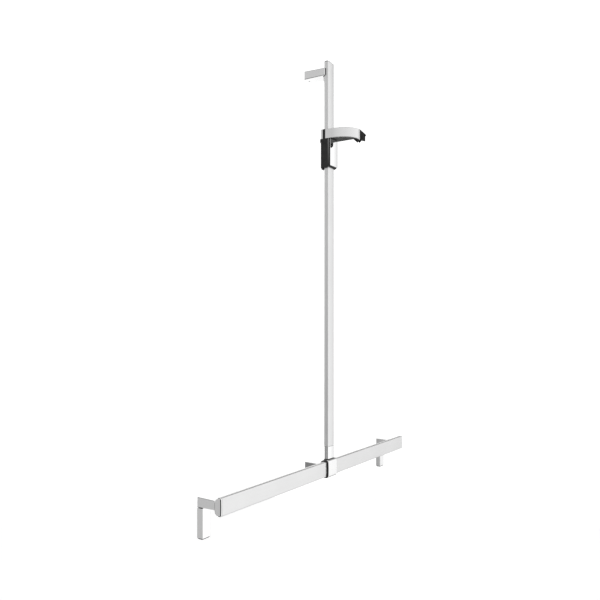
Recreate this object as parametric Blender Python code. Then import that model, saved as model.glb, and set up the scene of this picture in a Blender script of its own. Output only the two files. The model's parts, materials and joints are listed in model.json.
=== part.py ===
"""A wall-mounted shower grab rail with a riser bar and a sliding hand-shower holder.

Sizes are in millimetres and turned into metres when a mesh is made. X runs along the rail, Y points into the
wall, whose face is Y = 0, and Z is up. Z = 0 lies a little above the rail's centre line.
"""

import math

import bmesh
import bpy
from mathutils import Vector

MM = 0.001
GAP = 0.35  # between pieces that touch
SEAM = 0.3  # visible joint between neighbouring covers

# Grab rail: a D section with its crowned face to the front.
RAIL_LENGTH = 1004.0
RAIL_HALF_HEIGHT = 21.5
RAIL_CENTRE_Z = -1.0
RAIL_FRONT_Y = -80.6
RAIL_BACK_Y = -60.5
RAIL_BACK_RADIUS = 12.5
RAIL_FRONT_RADIUS = 3.0
RAIL_CROWN = 0.6
RAIL_WALL = 2.5
CAP_LENGTH = 5.6
CAP_PLUG_LENGTH = 8.0
CAP_CHAMFER = 1.7

# Brackets: hollow arms, with a leg below each end arm.
END_BRACKET_X = 473.25
END_ARM_WIDTH = 31.5
MIDDLE_ARM_WIDTH = 33.0
ARM_TOP_Z = 10.0
ARM_BOTTOM_Z = -14.0
ARM_FALL = 2.3
ARM_EDGE = 1.2
ARM_POCKET_DEPTH = 48.0
ARM_FLOOR = 2.5
ARM_WALL = 3.0
ARM_POCKET_TOP_Z = 5.2
TOP_ARM_BOTTOM_Z = 1121.0
TOP_ARM_HEIGHT = 23.3
TOP_ARM_WIDTH = 40.0
TOP_ARM_FRONT_Y = -69.5
LEG_BOTTOM_Z = -88.0
LEG_DEPTH = 15.5
LEG_WALL = 1.8
LEG_RADIUS = 2.2
LEG_CHAMFER = 1.8
LEG_SEAM = 1.4
PLATE_DEPTH = 9.0
END_PLATE_DEPTH = 6.0
PLATE_HALF_WIDTH = 12.2
PLATE_TOP_Z = 4.8
PLATE_HOLE_X = 7.6
SCREW_Z = -3.0
SCREW_BORE_RADIUS = 3.4
SCREW_RADIUS = 3.0
HEAD_RADIUS = 5.0
GRUB_BORE_RADIUS = 2.4
BLOCK_HALF_WIDTH = 9.0
BLOCK_HALF_HEIGHT = 7.5
BLOCK_DEPTH = 8.0

# Riser bar, its foot and its collar on the rail.
BAR_HALF_WIDTH = 17.0
BAR_FRONT_Y = -78.9
BAR_SIDE_BACK_Y = -68.5
BAR_BACK_RISE = 10.0
BAR_FRONT_RADIUS = 0.8
BAR_CROWN = 0.8
BAR_WALL = 2.0
SOCKET_TOP_Z = 61.0
BAR_TOP_Z = 1163.0
BAR_CAP_HEIGHT = 3.0
BAR_CAP_CHAMFER = 2.2
COLLAR_HALF_WIDTH = 24.5
COLLAR_OUTER = 4.0
COLLAR_INNER = 1.6
COLLAR_WINDOW_HALF_WIDTH = 17.2
LINER_OUTER = 1.25
LINER_FLANGE_WIDTH = 1.9
LINER_FLANGE_OUTER = 3.8
GASKET_DEPTH = 1.4
TIE_BOLT_Y = -71.0

# Slider, as it stands on the bar.
SLIDER_BOTTOM_Z = 857.0
SLIDER_TOP_Z = 966.0
ARM_LEVEL_Z = 938.6
SLIDER_HALF_WIDTH = 23.0
SLIDER_BACK_Y = -54.8
SLIDER_FRONT_Y = -84.2
SLIDER_NOSE_Y = -86.4
SLIDER_NOSE_HALF_WIDTH = 19.8
SLIDER_FLANK_Y = -79.5
CHIN_START_Y = -75.0
CHIN_RISE = 3.8
REAR_LIP_DROP = 3.7
REAR_LIP_FRONT_Y = -63.0
REAR_LIP_BACK_Y = -55.6
REAR_LIP_HALF_WIDTH = 19.0
REAR_FLANGE_BOTTOM_Z = 929.5
RUNNING_GAP = 0.4
YOKE_BACK_Y = -52.6
YOKE_BACK_RADIUS = 7.0
YOKE_FRONT_Y = -63.9
CHEEK_FRONT_Y = -70.7
RECESS_HALF_WIDTH = 17.6
RECESS_FLOOR_Y = -83.2
RECESS_BOTTOM_Z = 864.0
DECK_Z = 926.0

# Release paddle on the front of the slider.
PADDLE_FRONT_Y = -89.6
PADDLE_BACK_Y = -87.9
PADDLE_HALF_WIDTH = 21.6
PADDLE_BOTTOM_Z = 861.3
PIVOT_Y = -85.6
PIVOT_Z = 893.0
PIN_RADIUS = 1.2
EAR_INNER_X = 11.5
EAR_WIDTH = 3.0
EAR_HALF_HEIGHT = 3.5
EAR_BACK_Y = -83.6
PAD_HALF_WIDTH = 7.6
PAD_BOTTOM_Z = 905.2
PAD_TOP_Z = 920.8
PAD_FRONT_Y = -84.3
PAD_CLEARANCE = 0.45

# Holder arm: its outer face runs straight forward and then turns along an arc.
ARC_CENTRE = Vector((45.7, -90.5))
BAND_RADIUS = 67.2
BAND_WALL = 1.8
BAND_EDGE = 0.9
BAND_END_ANGLE = 76.0
TRIM_START_ANGLE = 73.6
TRIM_SEAM_ANGLE = 1.0
BAND_START_Y = -71.3
BAND_DIP = 4.3
BAND_DIP_START = 58.0
CORE_RIGHT_X = 23.6

# Cradle: a slotted clip that tilts about a horizontal pivot at the arm's end.
CRADLE_CENTRE = Vector((44.9, -146.0, 949.2))
PIVOT_TURN = 10.0
CRADLE_TILT = 45.0
CRADLE_HALF_LENGTH = 16.2
CRADLE_RADIUS = 13.1
CRADLE_BORE_TOP = 10.4
CRADLE_BORE_BOTTOM = 9.2
SLOT_HALF_WIDTH = 6.0
FACET_DISTANCE = 17.3

MATERIALS = {
    "chrome": ((0.80, 0.81, 0.82), 0.07, 1.0),
    "anodised_aluminium": ((0.72, 0.72, 0.73), 0.33, 1.0),
    "black_plastic": ((0.025, 0.025, 0.027), 0.42, 0.0),
    "steel": ((0.55, 0.55, 0.56), 0.35, 1.0),
    "zinc": ((0.50, 0.51, 0.52), 0.45, 1.0),
    "rubber": ((0.02, 0.02, 0.02), 0.80, 0.0),
}


# ---------------------------------------------------------------- outlines


def rounded(corners):
    """Closed outline through (x, y, radius) corners, each turned into an arc; radius 0 keeps it sharp."""
    outline = []
    for i, (x, y, radius) in enumerate(corners):
        here = Vector((x, y))
        if radius == 0:
            outline.append(here)
            continue
        back = (Vector(corners[i - 1][:2]) - here).normalized()
        ahead = (Vector(corners[(i + 1) % len(corners)][:2]) - here).normalized()
        half = back.angle(ahead) / 2
        centre = here + (back + ahead).normalized() * radius / math.sin(half)
        start = here + back * radius / math.tan(half) - centre
        end = here + ahead * radius / math.tan(half) - centre
        first = math.atan2(start.y, start.x)
        sweep = math.remainder(math.atan2(end.y, end.x) - first, math.tau)
        steps = 3 + int(radius / 2.5)
        for k in range(steps + 1):
            angle = first + sweep * k / steps
            outline.append(centre + radius * Vector((math.cos(angle), math.sin(angle))))
    return outline


def grown(outline, distance):
    """The anticlockwise outline with every side moved outward by distance."""
    moved = []
    for i, point in enumerate(outline):
        before = (point - outline[i - 1]).normalized()
        after = (outline[(i + 1) % len(outline)] - point).normalized()
        first = Vector((before.y, -before.x))
        second = Vector((after.y, -after.x))
        moved.append(point + (first + second) * distance / (1 + first.dot(second)))
    return moved


def rail_outline():
    """The D section of the rail, in (y, z)."""
    low, high = RAIL_CENTRE_Z - RAIL_HALF_HEIGHT, RAIL_CENTRE_Z + RAIL_HALF_HEIGHT
    side_y = RAIL_FRONT_Y + RAIL_CROWN
    shares = (0.6, 0.2, -0.2, -0.6)
    crown = [(RAIL_FRONT_Y + RAIL_CROWN * t**2, RAIL_CENTRE_Z + RAIL_HALF_HEIGHT * t, 0) for t in shares]
    return rounded(
        [
            (RAIL_BACK_Y, low, RAIL_BACK_RADIUS),
            (RAIL_BACK_Y, high, RAIL_BACK_RADIUS),
            (side_y, high, RAIL_FRONT_RADIUS),
            *crown,
            (side_y, low, RAIL_FRONT_RADIUS),
        ]
    )


def rail_back_y(z, gap):
    """Where a surface that follows the rail's back at this gap stands at height z."""
    beyond_flat = max(0.0, abs(z - RAIL_CENTRE_Z) - (RAIL_HALF_HEIGHT - RAIL_BACK_RADIUS))
    centre_y = RAIL_BACK_Y - RAIL_BACK_RADIUS
    return centre_y + math.sqrt((RAIL_BACK_RADIUS + gap) ** 2 - beyond_flat**2)


def bar_outline(inset=0.0):
    """The riser bar's section, in (x, y): flat crowned front, straight sides, curved back.

    inset is how far the outline lies inside the outer surface.
    """
    half = BAR_HALF_WIDTH - inset
    rise = BAR_BACK_RISE - inset
    front_y = BAR_FRONT_Y + inset
    side_y = front_y + BAR_CROWN
    radius = max(BAR_FRONT_RADIUS - inset, 0.3)
    crown = [(x, front_y + BAR_CROWN * (x / half) ** 2, 0) for x in (-9, -3, 3, 9)]
    angles = [math.pi * k / 14 for k in range(15)]
    back = [(half * math.cos(a), BAR_SIDE_BACK_Y + rise * math.sin(a), 0) for a in angles]
    return rounded([(-half, side_y, radius), *crown, (half, side_y, radius), *back])


# ---------------------------------------------------------------- meshes

PLANES = {
    "XY": lambda a, b, height: Vector((a, b, height)),
    "YZ": lambda a, b, height: Vector((height, a, b)),
    "XZ": lambda a, b, height: Vector((a, height, b)),
}


def ring(plane, outline, height):
    place = PLANES[plane]
    return [place(point.x, point.y, height) for point in outline]


def add_loft(mesh, rings, wrap=False):
    """Skins rings of equal length. The ends are capped, or with wrap the last ring joins the first."""
    loops = [[mesh.verts.new(point * MM) for point in points] for points in rings]
    pairs = list(zip(loops, loops[1:]))
    if wrap:
        pairs.append((loops[-1], loops[0]))
    else:
        mesh.faces.new(loops[0])
        mesh.faces.new(loops[-1])
    for low, high in pairs:
        for i in range(len(low)):
            j = (i + 1) % len(low)
            mesh.faces.new((low[i], low[j], high[j], high[i]))


def prism(plane, outline, low, high):
    return [ring(plane, outline, low), ring(plane, outline, high)]


def soft_prism(plane, outline, low, high, edge):
    """A prism whose end edges are rounded by edge."""
    near = 0.29 * edge
    rim = [(0, edge), (near, near), (edge, 0)]
    steps = [(low + rise, inset) for rise, inset in rim]
    steps += [(high - rise, inset) for rise, inset in reversed(rim)]
    return [ring(plane, grown(outline, -inset), height) for height, inset in steps]


def rectangle(low_a, high_a, low_b, high_b, radius):
    """Outline of a rectangle whose four corners share a radius."""
    corners = ((low_a, low_b), (high_a, low_b), (high_a, high_b), (low_a, high_b))
    return rounded([(*corner, radius) for corner in corners])


def box(low, high):
    return prism("XY", rectangle(low[0], high[0], low[1], high[1], 0), low[2], high[2])


def turned(origin, axis, profile, sides=14):
    """Rings of a turned solid: profile holds (distance along the axis, radius) pairs."""
    axis = Vector(axis).normalized()
    across = axis.orthogonal().normalized()
    other = axis.cross(across)
    rings = []
    for distance, radius in profile:
        centre = Vector(origin) + axis * distance
        angles = [math.tau * k / sides for k in range(sides)]
        rings.append([centre + (across * math.cos(a) + other * math.sin(a)) * radius for a in angles])
    return rings


def piece(name, rings, material, wrap=False):
    """One object whose closed mesh is skinned over the rings."""
    mesh = bmesh.new()
    add_loft(mesh, rings, wrap)
    bmesh.ops.recalc_face_normals(mesh, faces=mesh.faces)
    data = bpy.data.meshes.new(name)
    mesh.to_mesh(data)
    mesh.free()
    data.shade_smooth()
    data.set_sharp_from_angle(angle=math.radians(32))
    if material:
        data.materials.append(bpy.data.materials[material])
    obj = bpy.data.objects.new(name, data)
    bpy.context.scene.collection.objects.link(obj)
    return obj


def combine(obj, rings, operation="DIFFERENCE"):
    """Cuts the solid made of rings from obj, or joins it on."""
    tool = piece(f"{obj.name}_tool", rings, None)
    tool.hide_render = True
    tool.display_type = "WIRE"
    modifier = obj.modifiers.new(operation.lower(), "BOOLEAN")
    modifier.operation = operation
    modifier.solver = "EXACT"
    modifier.object = tool


def make_materials():
    for name, (colour, roughness, metallic) in MATERIALS.items():
        material = bpy.data.materials.new(name)
        material.use_nodes = True
        shader = material.node_tree.nodes["Principled BSDF"]
        shader.inputs["Base Color"].default_value = (*colour, 1.0)
        shader.inputs["Roughness"].default_value = roughness
        shader.inputs["Metallic"].default_value = metallic
        material.diffuse_color = (*colour, 1.0)


# ---------------------------------------------------------------- grab rail


def bracket_places():
    """Name and centre of each bracket on the rail."""
    return [("left", -END_BRACKET_X), ("middle", 0.0), ("right", END_BRACKET_X)]


def screw_bore(x, z, far_y):
    return turned((x, 0, z), (0, -1, 0), [(40, SCREW_BORE_RADIUS), (-far_y, SCREW_BORE_RADIUS)])


def tie_bolt_bore():
    return turned((0, TIE_BOLT_Y, 0), (0, 0, 1), [(12, SCREW_BORE_RADIUS), (101, SCREW_BORE_RADIUS)])


def make_rail():
    outer = rail_outline()
    inner = grown(outer, -RAIL_WALL)
    end = RAIL_LENGTH / 2 - CAP_LENGTH - SEAM
    rings = prism("YZ", outer, -end, end) + prism("YZ", inner, end, -end)
    rail = piece("grab_rail", rings, "anodised_aluminium", wrap=True)
    for _, x in bracket_places():
        combine(rail, screw_bore(x, SCREW_Z, RAIL_BACK_Y - 6))
    combine(rail, tie_bolt_bore())


def make_end_cap(name, side):
    """Chrome cap: a plug inside the rail, a shoulder, and an end face with a flat chamfer all round."""
    outer = rail_outline()
    plug = grown(outer, -RAIL_WALL - GAP)
    end = RAIL_LENGTH / 2
    shoulder = end - CAP_LENGTH
    steps = [
        (shoulder - CAP_PLUG_LENGTH, plug),
        (shoulder, plug),
        (shoulder, grown(outer, -0.15)),
        (shoulder + 0.3, outer),
        (end - CAP_CHAMFER, outer),
        (end, grown(outer, -CAP_CHAMFER)),
    ]
    piece(name, [ring("YZ", outline, side * x) for x, outline in steps], "chrome")


def make_clamp_blocks():
    """Blocks inside the rail and the bar that the bracket screws bite into."""
    back_y = RAIL_BACK_Y - RAIL_WALL - GAP
    places = [(f"rail_clamp_block_{name}", x, 0, back_y) for name, x in bracket_places()]
    bar_inner_y = BAR_SIDE_BACK_Y + BAR_BACK_RISE - BAR_WALL
    places.append(("bar_clamp_block", 0, top_screw_z(), bar_inner_y - 2))
    for name, x, z, high_y in places:
        low_y = high_y - BLOCK_DEPTH
        low = (x - BLOCK_HALF_WIDTH, low_y, z - BLOCK_HALF_HEIGHT)
        block = piece(name, box(low, (x + BLOCK_HALF_WIDTH, high_y, z + BLOCK_HALF_HEIGHT)), "zinc")
        combine(block, screw_bore(x, z if z else SCREW_Z, low_y - 2))


# ---------------------------------------------------------------- brackets


def arm_outline():
    """Side view of an arm on the rail, in (y, z), with its front end shaped to the rail's back."""
    front_top = ARM_TOP_Z - ARM_FALL
    heights = [front_top - (front_top - ARM_BOTTOM_Z) * k / 10 for k in range(11)]
    front = [Vector((rail_back_y(z, GAP), z)) for z in heights]
    return [Vector((0, ARM_BOTTOM_Z)), Vector((0, ARM_TOP_Z)), *front]


def make_arm(name, x, width):
    half = width / 2
    arm = piece(name, soft_prism("YZ", arm_outline(), x - half, x + half, ARM_EDGE), "chrome")
    low = (x - half + ARM_WALL, -ARM_POCKET_DEPTH, ARM_BOTTOM_Z + ARM_FLOOR)
    combine(arm, box(low, (x + half - ARM_WALL, 1, ARM_POCKET_TOP_Z)))
    combine(arm, screw_bore(x, SCREW_Z, RAIL_BACK_Y - 4))
    return arm


def make_wall_plate(name, x, bottom_z, top_z, depth, holes):
    """Steel plate with countersunk screw holes, given as (x offset, z)."""
    outline = rectangle(x - PLATE_HALF_WIDTH, x + PLATE_HALF_WIDTH, bottom_z, top_z, 1.5)
    plate = piece(name, soft_prism("XZ", outline, -depth, 0, 0.4), "steel")
    for offset, z in holes:
        profile = [(-1, 2.6), (depth - 2.4, 2.6), (depth + 1, 6.0)]
        combine(plate, turned((x + offset, 0, z), (0, -1, 0), profile))


def make_leg_cover(name, x):
    """Box-shaped cover below an end arm, open to the wall and at its top."""
    half = END_ARM_WIDTH / 2
    front = [(x - half, -LEG_DEPTH, LEG_RADIUS), (x + half, -LEG_DEPTH, LEG_RADIUS)]
    outline = rounded([*front, (x + half, 0, 0), (x - half, 0, 0)])
    top = ARM_BOTTOM_Z - LEG_SEAM
    steps = [(LEG_BOTTOM_Z, LEG_CHAMFER), (LEG_BOTTOM_Z + LEG_CHAMFER, 0), (top - 0.3, 0), (top, 0.3)]
    leg = piece(name, [ring("XY", grown(outline, -inset), z) for z, inset in steps], "chrome")
    low = (x - half + LEG_WALL, -LEG_DEPTH + LEG_WALL, LEG_BOTTOM_Z + LEG_WALL)
    combine(leg, box(low, (x + half - LEG_WALL, 1, 0)))
    combine(leg, turned((x, -4, 0), (0, 0, -1), [(80, GRUB_BORE_RADIUS), (92, GRUB_BORE_RADIUS)]))


def make_end_bracket(side, x):
    arm = make_arm(f"{side}_bracket_arm", x, END_ARM_WIDTH)
    notch = PLATE_HALF_WIDTH + 0.55
    combine(arm, box((x - notch, -8, ARM_BOTTOM_Z - 1), (x + notch, 1, 0)))
    make_leg_cover(f"{side}_leg_cover", x)
    make_wall_plate(f"{side}_wall_plate", x, -83.6, PLATE_TOP_Z, END_PLATE_DEPTH, [(0, -28), (0, -66)])


def make_short_plate(name, lift):
    """Plate of an arm with no leg. lift is its height above the middle bracket's."""
    holes = [(-PLATE_HOLE_X, lift - 3.2), (PLATE_HOLE_X, lift - 3.2)]
    make_wall_plate(name, 0, lift - 11.1, lift + PLATE_TOP_Z, PLATE_DEPTH, holes)


def make_middle_bracket():
    arm = make_arm("middle_bracket_arm", 0, MIDDLE_ARM_WIDTH)
    combine(arm, turned((0, -5.5, 0), (0, 0, -1), [(8, GRUB_BORE_RADIUS), (18, GRUB_BORE_RADIUS)]))
    make_short_plate("middle_wall_plate", 0)


def top_screw_z():
    return TOP_ARM_BOTTOM_Z - ARM_BOTTOM_Z + SCREW_Z


def make_top_bracket():
    lift = TOP_ARM_BOTTOM_Z - ARM_BOTTOM_Z
    low_z, high_z = TOP_ARM_BOTTOM_Z, TOP_ARM_BOTTOM_Z + TOP_ARM_HEIGHT
    front = TOP_ARM_FRONT_Y
    outline = [Vector(p) for p in ((0, low_z), (0, high_z), (front, high_z - ARM_FALL), (front, low_z))]
    half = TOP_ARM_WIDTH / 2
    arm = piece("top_bracket_arm", soft_prism("YZ", outline, -half, half, ARM_EDGE), "chrome")
    combine(arm, prism("XY", grown(bar_outline(), 1.65), low_z - 5, high_z + 5))
    low = (-half + ARM_WALL, -ARM_POCKET_DEPTH, low_z + ARM_FLOOR)
    combine(arm, box(low, (half - ARM_WALL, 1, lift + ARM_POCKET_TOP_Z)))
    combine(arm, screw_bore(0, top_screw_z(), -64))
    combine(arm, turned((0, -5.5, low_z), (0, 0, 1), [(-3, GRUB_BORE_RADIUS), (6, GRUB_BORE_RADIUS)]))
    make_short_plate("top_wall_plate", lift)
    low = (-BAR_HALF_WIDTH - 2, front - 1.7, low_z + 1)
    seal = piece("top_bracket_seal", box(low, (BAR_HALF_WIDTH + 2, -50, high_z - 3.4)), "rubber")
    combine(seal, prism("XY", grown(bar_outline(), 1.35), low_z - 5, high_z + 5), "INTERSECT")
    combine(seal, prism("XY", grown(bar_outline(), GAP), low_z - 5, high_z + 5))
    combine(seal, screw_bore(0, top_screw_z(), -64))


def make_bracket_screws():
    """One screw in each arm: its head on the pocket's floor, its shank in the clamp block."""
    depth = ARM_POCKET_DEPTH
    profile = [(depth - 3.8, HEAD_RADIUS - 0.4), (depth - 3.2, HEAD_RADIUS), (depth - GAP, HEAD_RADIUS)]
    profile += [(depth - GAP, SCREW_RADIUS), (71, SCREW_RADIUS), (72, SCREW_RADIUS - 0.8)]
    places = [(name, x, SCREW_Z) for name, x in bracket_places()] + [("top", 0, top_screw_z())]
    for name, x, z in places:
        piece(f"bracket_screw_{name}", turned((x, 0, z), (0, -1, 0), profile), "steel")


def make_grub_screws():
    """Set screws that hold the arms and the leg covers on their plates, from below."""
    lift = TOP_ARM_BOTTOM_Z - ARM_BOTTOM_Z
    arm_z, leg_z = ARM_BOTTOM_Z + 0.2, LEG_BOTTOM_Z + 0.2
    places = [
        ("left", -END_BRACKET_X, -4, leg_z, 3.8),
        ("middle", 0, -5.5, arm_z, 2.3),
        ("right", END_BRACKET_X, -4, leg_z, 3.8),
        ("top", 0, -5.5, arm_z + lift, 2.3),
    ]
    for name, x, y, z, length in places:
        profile = [(0, 1.7), (0.3, 2), (length, 2)]
        piece(f"grub_screw_{name}", turned((x, y, z), (0, 0, 1), profile, 12), "steel")


# ---------------------------------------------------------------- riser


def make_collar():
    """Sleeve around the rail, and the liner inside it, whose flange covers the sleeve's left end.

    Both have a window at the back for the middle arm.
    """
    section = rail_outline()
    half = COLLAR_HALF_WIDTH
    steps = [(-half, COLLAR_INNER), (-half, COLLAR_OUTER - 1.2)]
    steps += [(-half + 0.35, COLLAR_OUTER - 0.35), (-half + 1.2, COLLAR_OUTER)]
    steps += [(-x, size) for x, size in reversed(steps)]
    rings = [ring("YZ", grown(section, size), x) for x, size in steps]
    collar = piece("rail_collar", rings, "chrome", wrap=True)
    flange = -half - GAP
    end = flange - LINER_FLANGE_WIDTH
    steps = [(end, GAP), (end, LINER_FLANGE_OUTER), (flange, LINER_FLANGE_OUTER), (flange, LINER_OUTER)]
    steps += [(half - GAP, LINER_OUTER), (half - GAP, GAP)]
    rings = [ring("YZ", grown(section, size), x) for x, size in steps]
    liner = piece("collar_liner", rings, "black_plastic", wrap=True)
    window = COLLAR_WINDOW_HALF_WIDTH
    for sleeve in (collar, liner):
        combine(sleeve, box((-window, -64, ARM_BOTTOM_Z - 0.8), (window, -50, ARM_TOP_Z - 1.3)))
        combine(sleeve, tie_bolt_bore())


def saddle(distance):
    """Solid in the shape of the rail's section, grown by distance, below the foot of the bar."""
    end = COLLAR_HALF_WIDTH + 5
    return prism("YZ", grown(rail_outline(), distance), -end, end)


def make_riser():
    section = bar_outline()
    inner = bar_outline(BAR_WALL)
    plug = bar_outline(BAR_WALL + GAP)
    foot = grown(section, 0.25)
    rings = prism("XY", foot, 8, SOCKET_TOP_Z) + prism("XY", inner, SOCKET_TOP_Z, 8)
    socket = piece("bar_socket", rings, "chrome", wrap=True)
    low = COLLAR_OUTER + GAP
    high = low + GASKET_DEPTH
    combine(socket, saddle(high + GAP))
    gasket = piece("socket_gasket", prism("XY", bar_outline(0.1), 8, SOCKET_TOP_Z), "rubber")
    combine(gasket, saddle(high), "INTERSECT")
    combine(gasket, saddle(low))
    combine(gasket, prism("XY", bar_outline(BAR_WALL - 0.2), 0, SOCKET_TOP_Z + 5))

    bottom = SOCKET_TOP_Z + SEAM
    top = BAR_TOP_Z - BAR_CAP_HEIGHT - SEAM
    rings = prism("XY", section, bottom, top) + prism("XY", inner, top, bottom)
    bar = piece("riser_bar", rings, "anodised_aluminium", wrap=True)
    combine(bar, screw_bore(0, top_screw_z(), -66))

    spigot = piece("bar_spigot", prism("XY", plug, 26, 100), "zinc")
    combine(spigot, tie_bolt_bore())
    head_z = 100 + GAP
    profile = [(8, SCREW_RADIUS - 0.6), (9, SCREW_RADIUS), (head_z, SCREW_RADIUS), (head_z, HEAD_RADIUS)]
    profile += [(head_z + 4, HEAD_RADIUS), (head_z + 4.6, HEAD_RADIUS - 0.6)]
    piece("riser_tie_bolt", turned((0, TIE_BOLT_Y, 0), (0, 0, 1), profile), "steel")
    nut = piece("riser_nut", turned((0, TIE_BOLT_Y, 0), (0, 0, 1), [(8, 5.5), (13.5, 5.5)], 6), "steel")
    combine(nut, turned((0, TIE_BOLT_Y, 0), (0, 0, 1), [(5, 3.35), (16, 3.35)]))

    flange = BAR_TOP_Z - BAR_CAP_HEIGHT
    steps = [
        (flange - 12, plug),
        (flange, plug),
        (flange, section),
        (BAR_TOP_Z - BAR_CAP_CHAMFER, section),
        (BAR_TOP_Z, bar_outline(BAR_CAP_CHAMFER)),
    ]
    piece("bar_top_cap", [ring("XY", outline, z) for z, outline in steps], "chrome")


# ---------------------------------------------------------------- slider


def slider_channel(low_z, high_z):
    return prism("XY", grown(bar_outline(), RUNNING_GAP), low_z, high_z)


def pivot_bore(half_length, radius):
    return turned((0, PIVOT_Y, PIVOT_Z), (1, 0, 0), [(-half_length, radius), (half_length, radius)], 16)


def arm_screw_places():
    return [(-12.0, -84.7), (12.0, -84.7)]


def yoke_outline():
    """Outline, in (x, y), of the yoke and of the flange below it."""
    wide, back, radius = SLIDER_HALF_WIDTH, YOKE_BACK_Y, YOKE_BACK_RADIUS
    front = [(-wide, YOKE_FRONT_Y, 0), (wide, YOKE_FRONT_Y, 0)]
    return rounded([*front, (wide, back, radius), (-wide, back, radius)])


def slider_outline():
    """Outline of the sleeve: slanted flanks, and a nose that stands a step in from them."""
    wide, nose, front = SLIDER_HALF_WIDTH, SLIDER_NOSE_HALF_WIDTH, SLIDER_FRONT_Y
    right = [
        (nose, SLIDER_NOSE_Y, 0.6),
        (nose, front, 0),
        (wide - 1.4, front, 0.6),
        (wide, SLIDER_FLANK_Y, 1.2),
        (wide, SLIDER_BACK_Y, 7),
    ]
    left = [(-x, y, radius) for x, y, radius in reversed(right)]
    return rounded(right + left)


def make_slider_body():
    """Sleeve around the bar. Above the arm's level only two narrow cheeks go on."""
    bottom, level = SLIDER_BOTTOM_Z, ARM_LEVEL_Z
    rings = soft_prism("XY", slider_outline(), bottom, SLIDER_TOP_Z, 0.5)
    body = piece("slider_body", rings, "black_plastic")
    combine(body, soft_prism("XY", yoke_outline(), REAR_FLANGE_BOTTOM_Z, level - SEAM, 0.6), "UNION")
    wide, back = REAR_LIP_HALF_WIDTH, REAR_LIP_BACK_Y
    front = [(-wide, REAR_LIP_FRONT_Y, 1), (wide, REAR_LIP_FRONT_Y, 1)]
    lip = rounded([*front, (wide, back, 5), (-wide, back, 5)])
    combine(body, soft_prism("XY", lip, bottom - REAR_LIP_DROP, bottom + 6, 0.6), "UNION")
    combine(body, slider_channel(bottom - 10, SLIDER_TOP_Z + 5))
    combine(body, box((-30, -100, level - 0.6), (30, CHEEK_FRONT_Y, SLIDER_TOP_Z + 5)))
    combine(body, box((-30, YOKE_FRONT_Y - SEAM, level - SEAM), (30, -50, SLIDER_TOP_Z + 5)))
    low = (-RECESS_HALF_WIDTH, -92, RECESS_BOTTOM_Z)
    combine(body, box(low, (RECESS_HALF_WIDTH, RECESS_FLOOR_Y, DECK_Z)))
    slope = CHIN_RISE / (CHIN_START_Y - SLIDER_NOSE_Y)
    reach = 10
    chin = [(CHIN_START_Y, bottom), (SLIDER_NOSE_Y - reach, bottom + CHIN_RISE + reach * slope)]
    chin += [(SLIDER_NOSE_Y - reach, bottom - reach), (CHIN_START_Y, bottom - reach)]
    combine(body, prism("YZ", [Vector(point) for point in chin], -30, 30))
    window = PAD_HALF_WIDTH + 0.6
    combine(body, box((-window, -85, PAD_BOTTOM_Z - 0.7), (window, BAR_FRONT_Y + 1, PAD_TOP_Z + 0.7)))
    combine(body, pivot_bore(18.9, PIN_RADIUS + 0.15))
    for x, y in arm_screw_places():
        combine(body, turned((x, y, 0), (0, 0, 1), [(DECK_Z - 2, 1.3), (level + 2, 1.3)]))


def make_rear_yoke():
    yoke = piece("rear_yoke", soft_prism("XY", yoke_outline(), ARM_LEVEL_Z, SLIDER_TOP_Z, 0.8), "chrome")
    combine(yoke, slider_channel(ARM_LEVEL_Z - 5, SLIDER_TOP_Z + 5))


def make_paddle():
    """Chrome rocker plate with two ears for its pin and a boss that carries the brake pad."""
    wide = PADDLE_HALF_WIDTH
    low, high = PADDLE_BOTTOM_Z, ARM_LEVEL_Z - 1.2
    outline = rounded([(-wide, low, 2.5), (wide, low, 2.5), (wide, high, 1.5), (-wide, high, 1.5)])
    rings = soft_prism("XZ", outline, PADDLE_FRONT_Y, PADDLE_BACK_Y, 0.7)
    paddle = piece("release_paddle", rings, "chrome")
    root_y = PADDLE_BACK_Y - 0.8
    for x in (-EAR_INNER_X - EAR_WIDTH, EAR_INNER_X):
        low = (x, root_y, PIVOT_Z - EAR_HALF_HEIGHT)
        combine(paddle, box(low, (x + EAR_WIDTH, EAR_BACK_Y, PIVOT_Z + EAR_HALF_HEIGHT)), "UNION")
    low = (-PAD_HALF_WIDTH - 0.2, root_y, PAD_BOTTOM_Z + 0.8)
    combine(paddle, box(low, (PAD_HALF_WIDTH + 0.2, PAD_FRONT_Y - GAP, PAD_TOP_Z - 0.8)), "UNION")
    combine(paddle, pivot_bore(25, PIN_RADIUS + 0.15))
    pad = rectangle(-PAD_HALF_WIDTH, PAD_HALF_WIDTH, PAD_BOTTOM_Z, PAD_TOP_Z, 1)
    piece("brake_pad", prism("XZ", pad, PAD_FRONT_Y, BAR_FRONT_Y - PAD_CLEARANCE), "rubber")
    profile = [(-18.5, PIN_RADIUS - 0.3), (-18.2, PIN_RADIUS), (18.2, PIN_RADIUS), (18.5, PIN_RADIUS - 0.3)]
    piece("paddle_pin", turned((0, PIVOT_Y, PIVOT_Z), (1, 0, 0), profile, 16), "steel")


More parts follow.
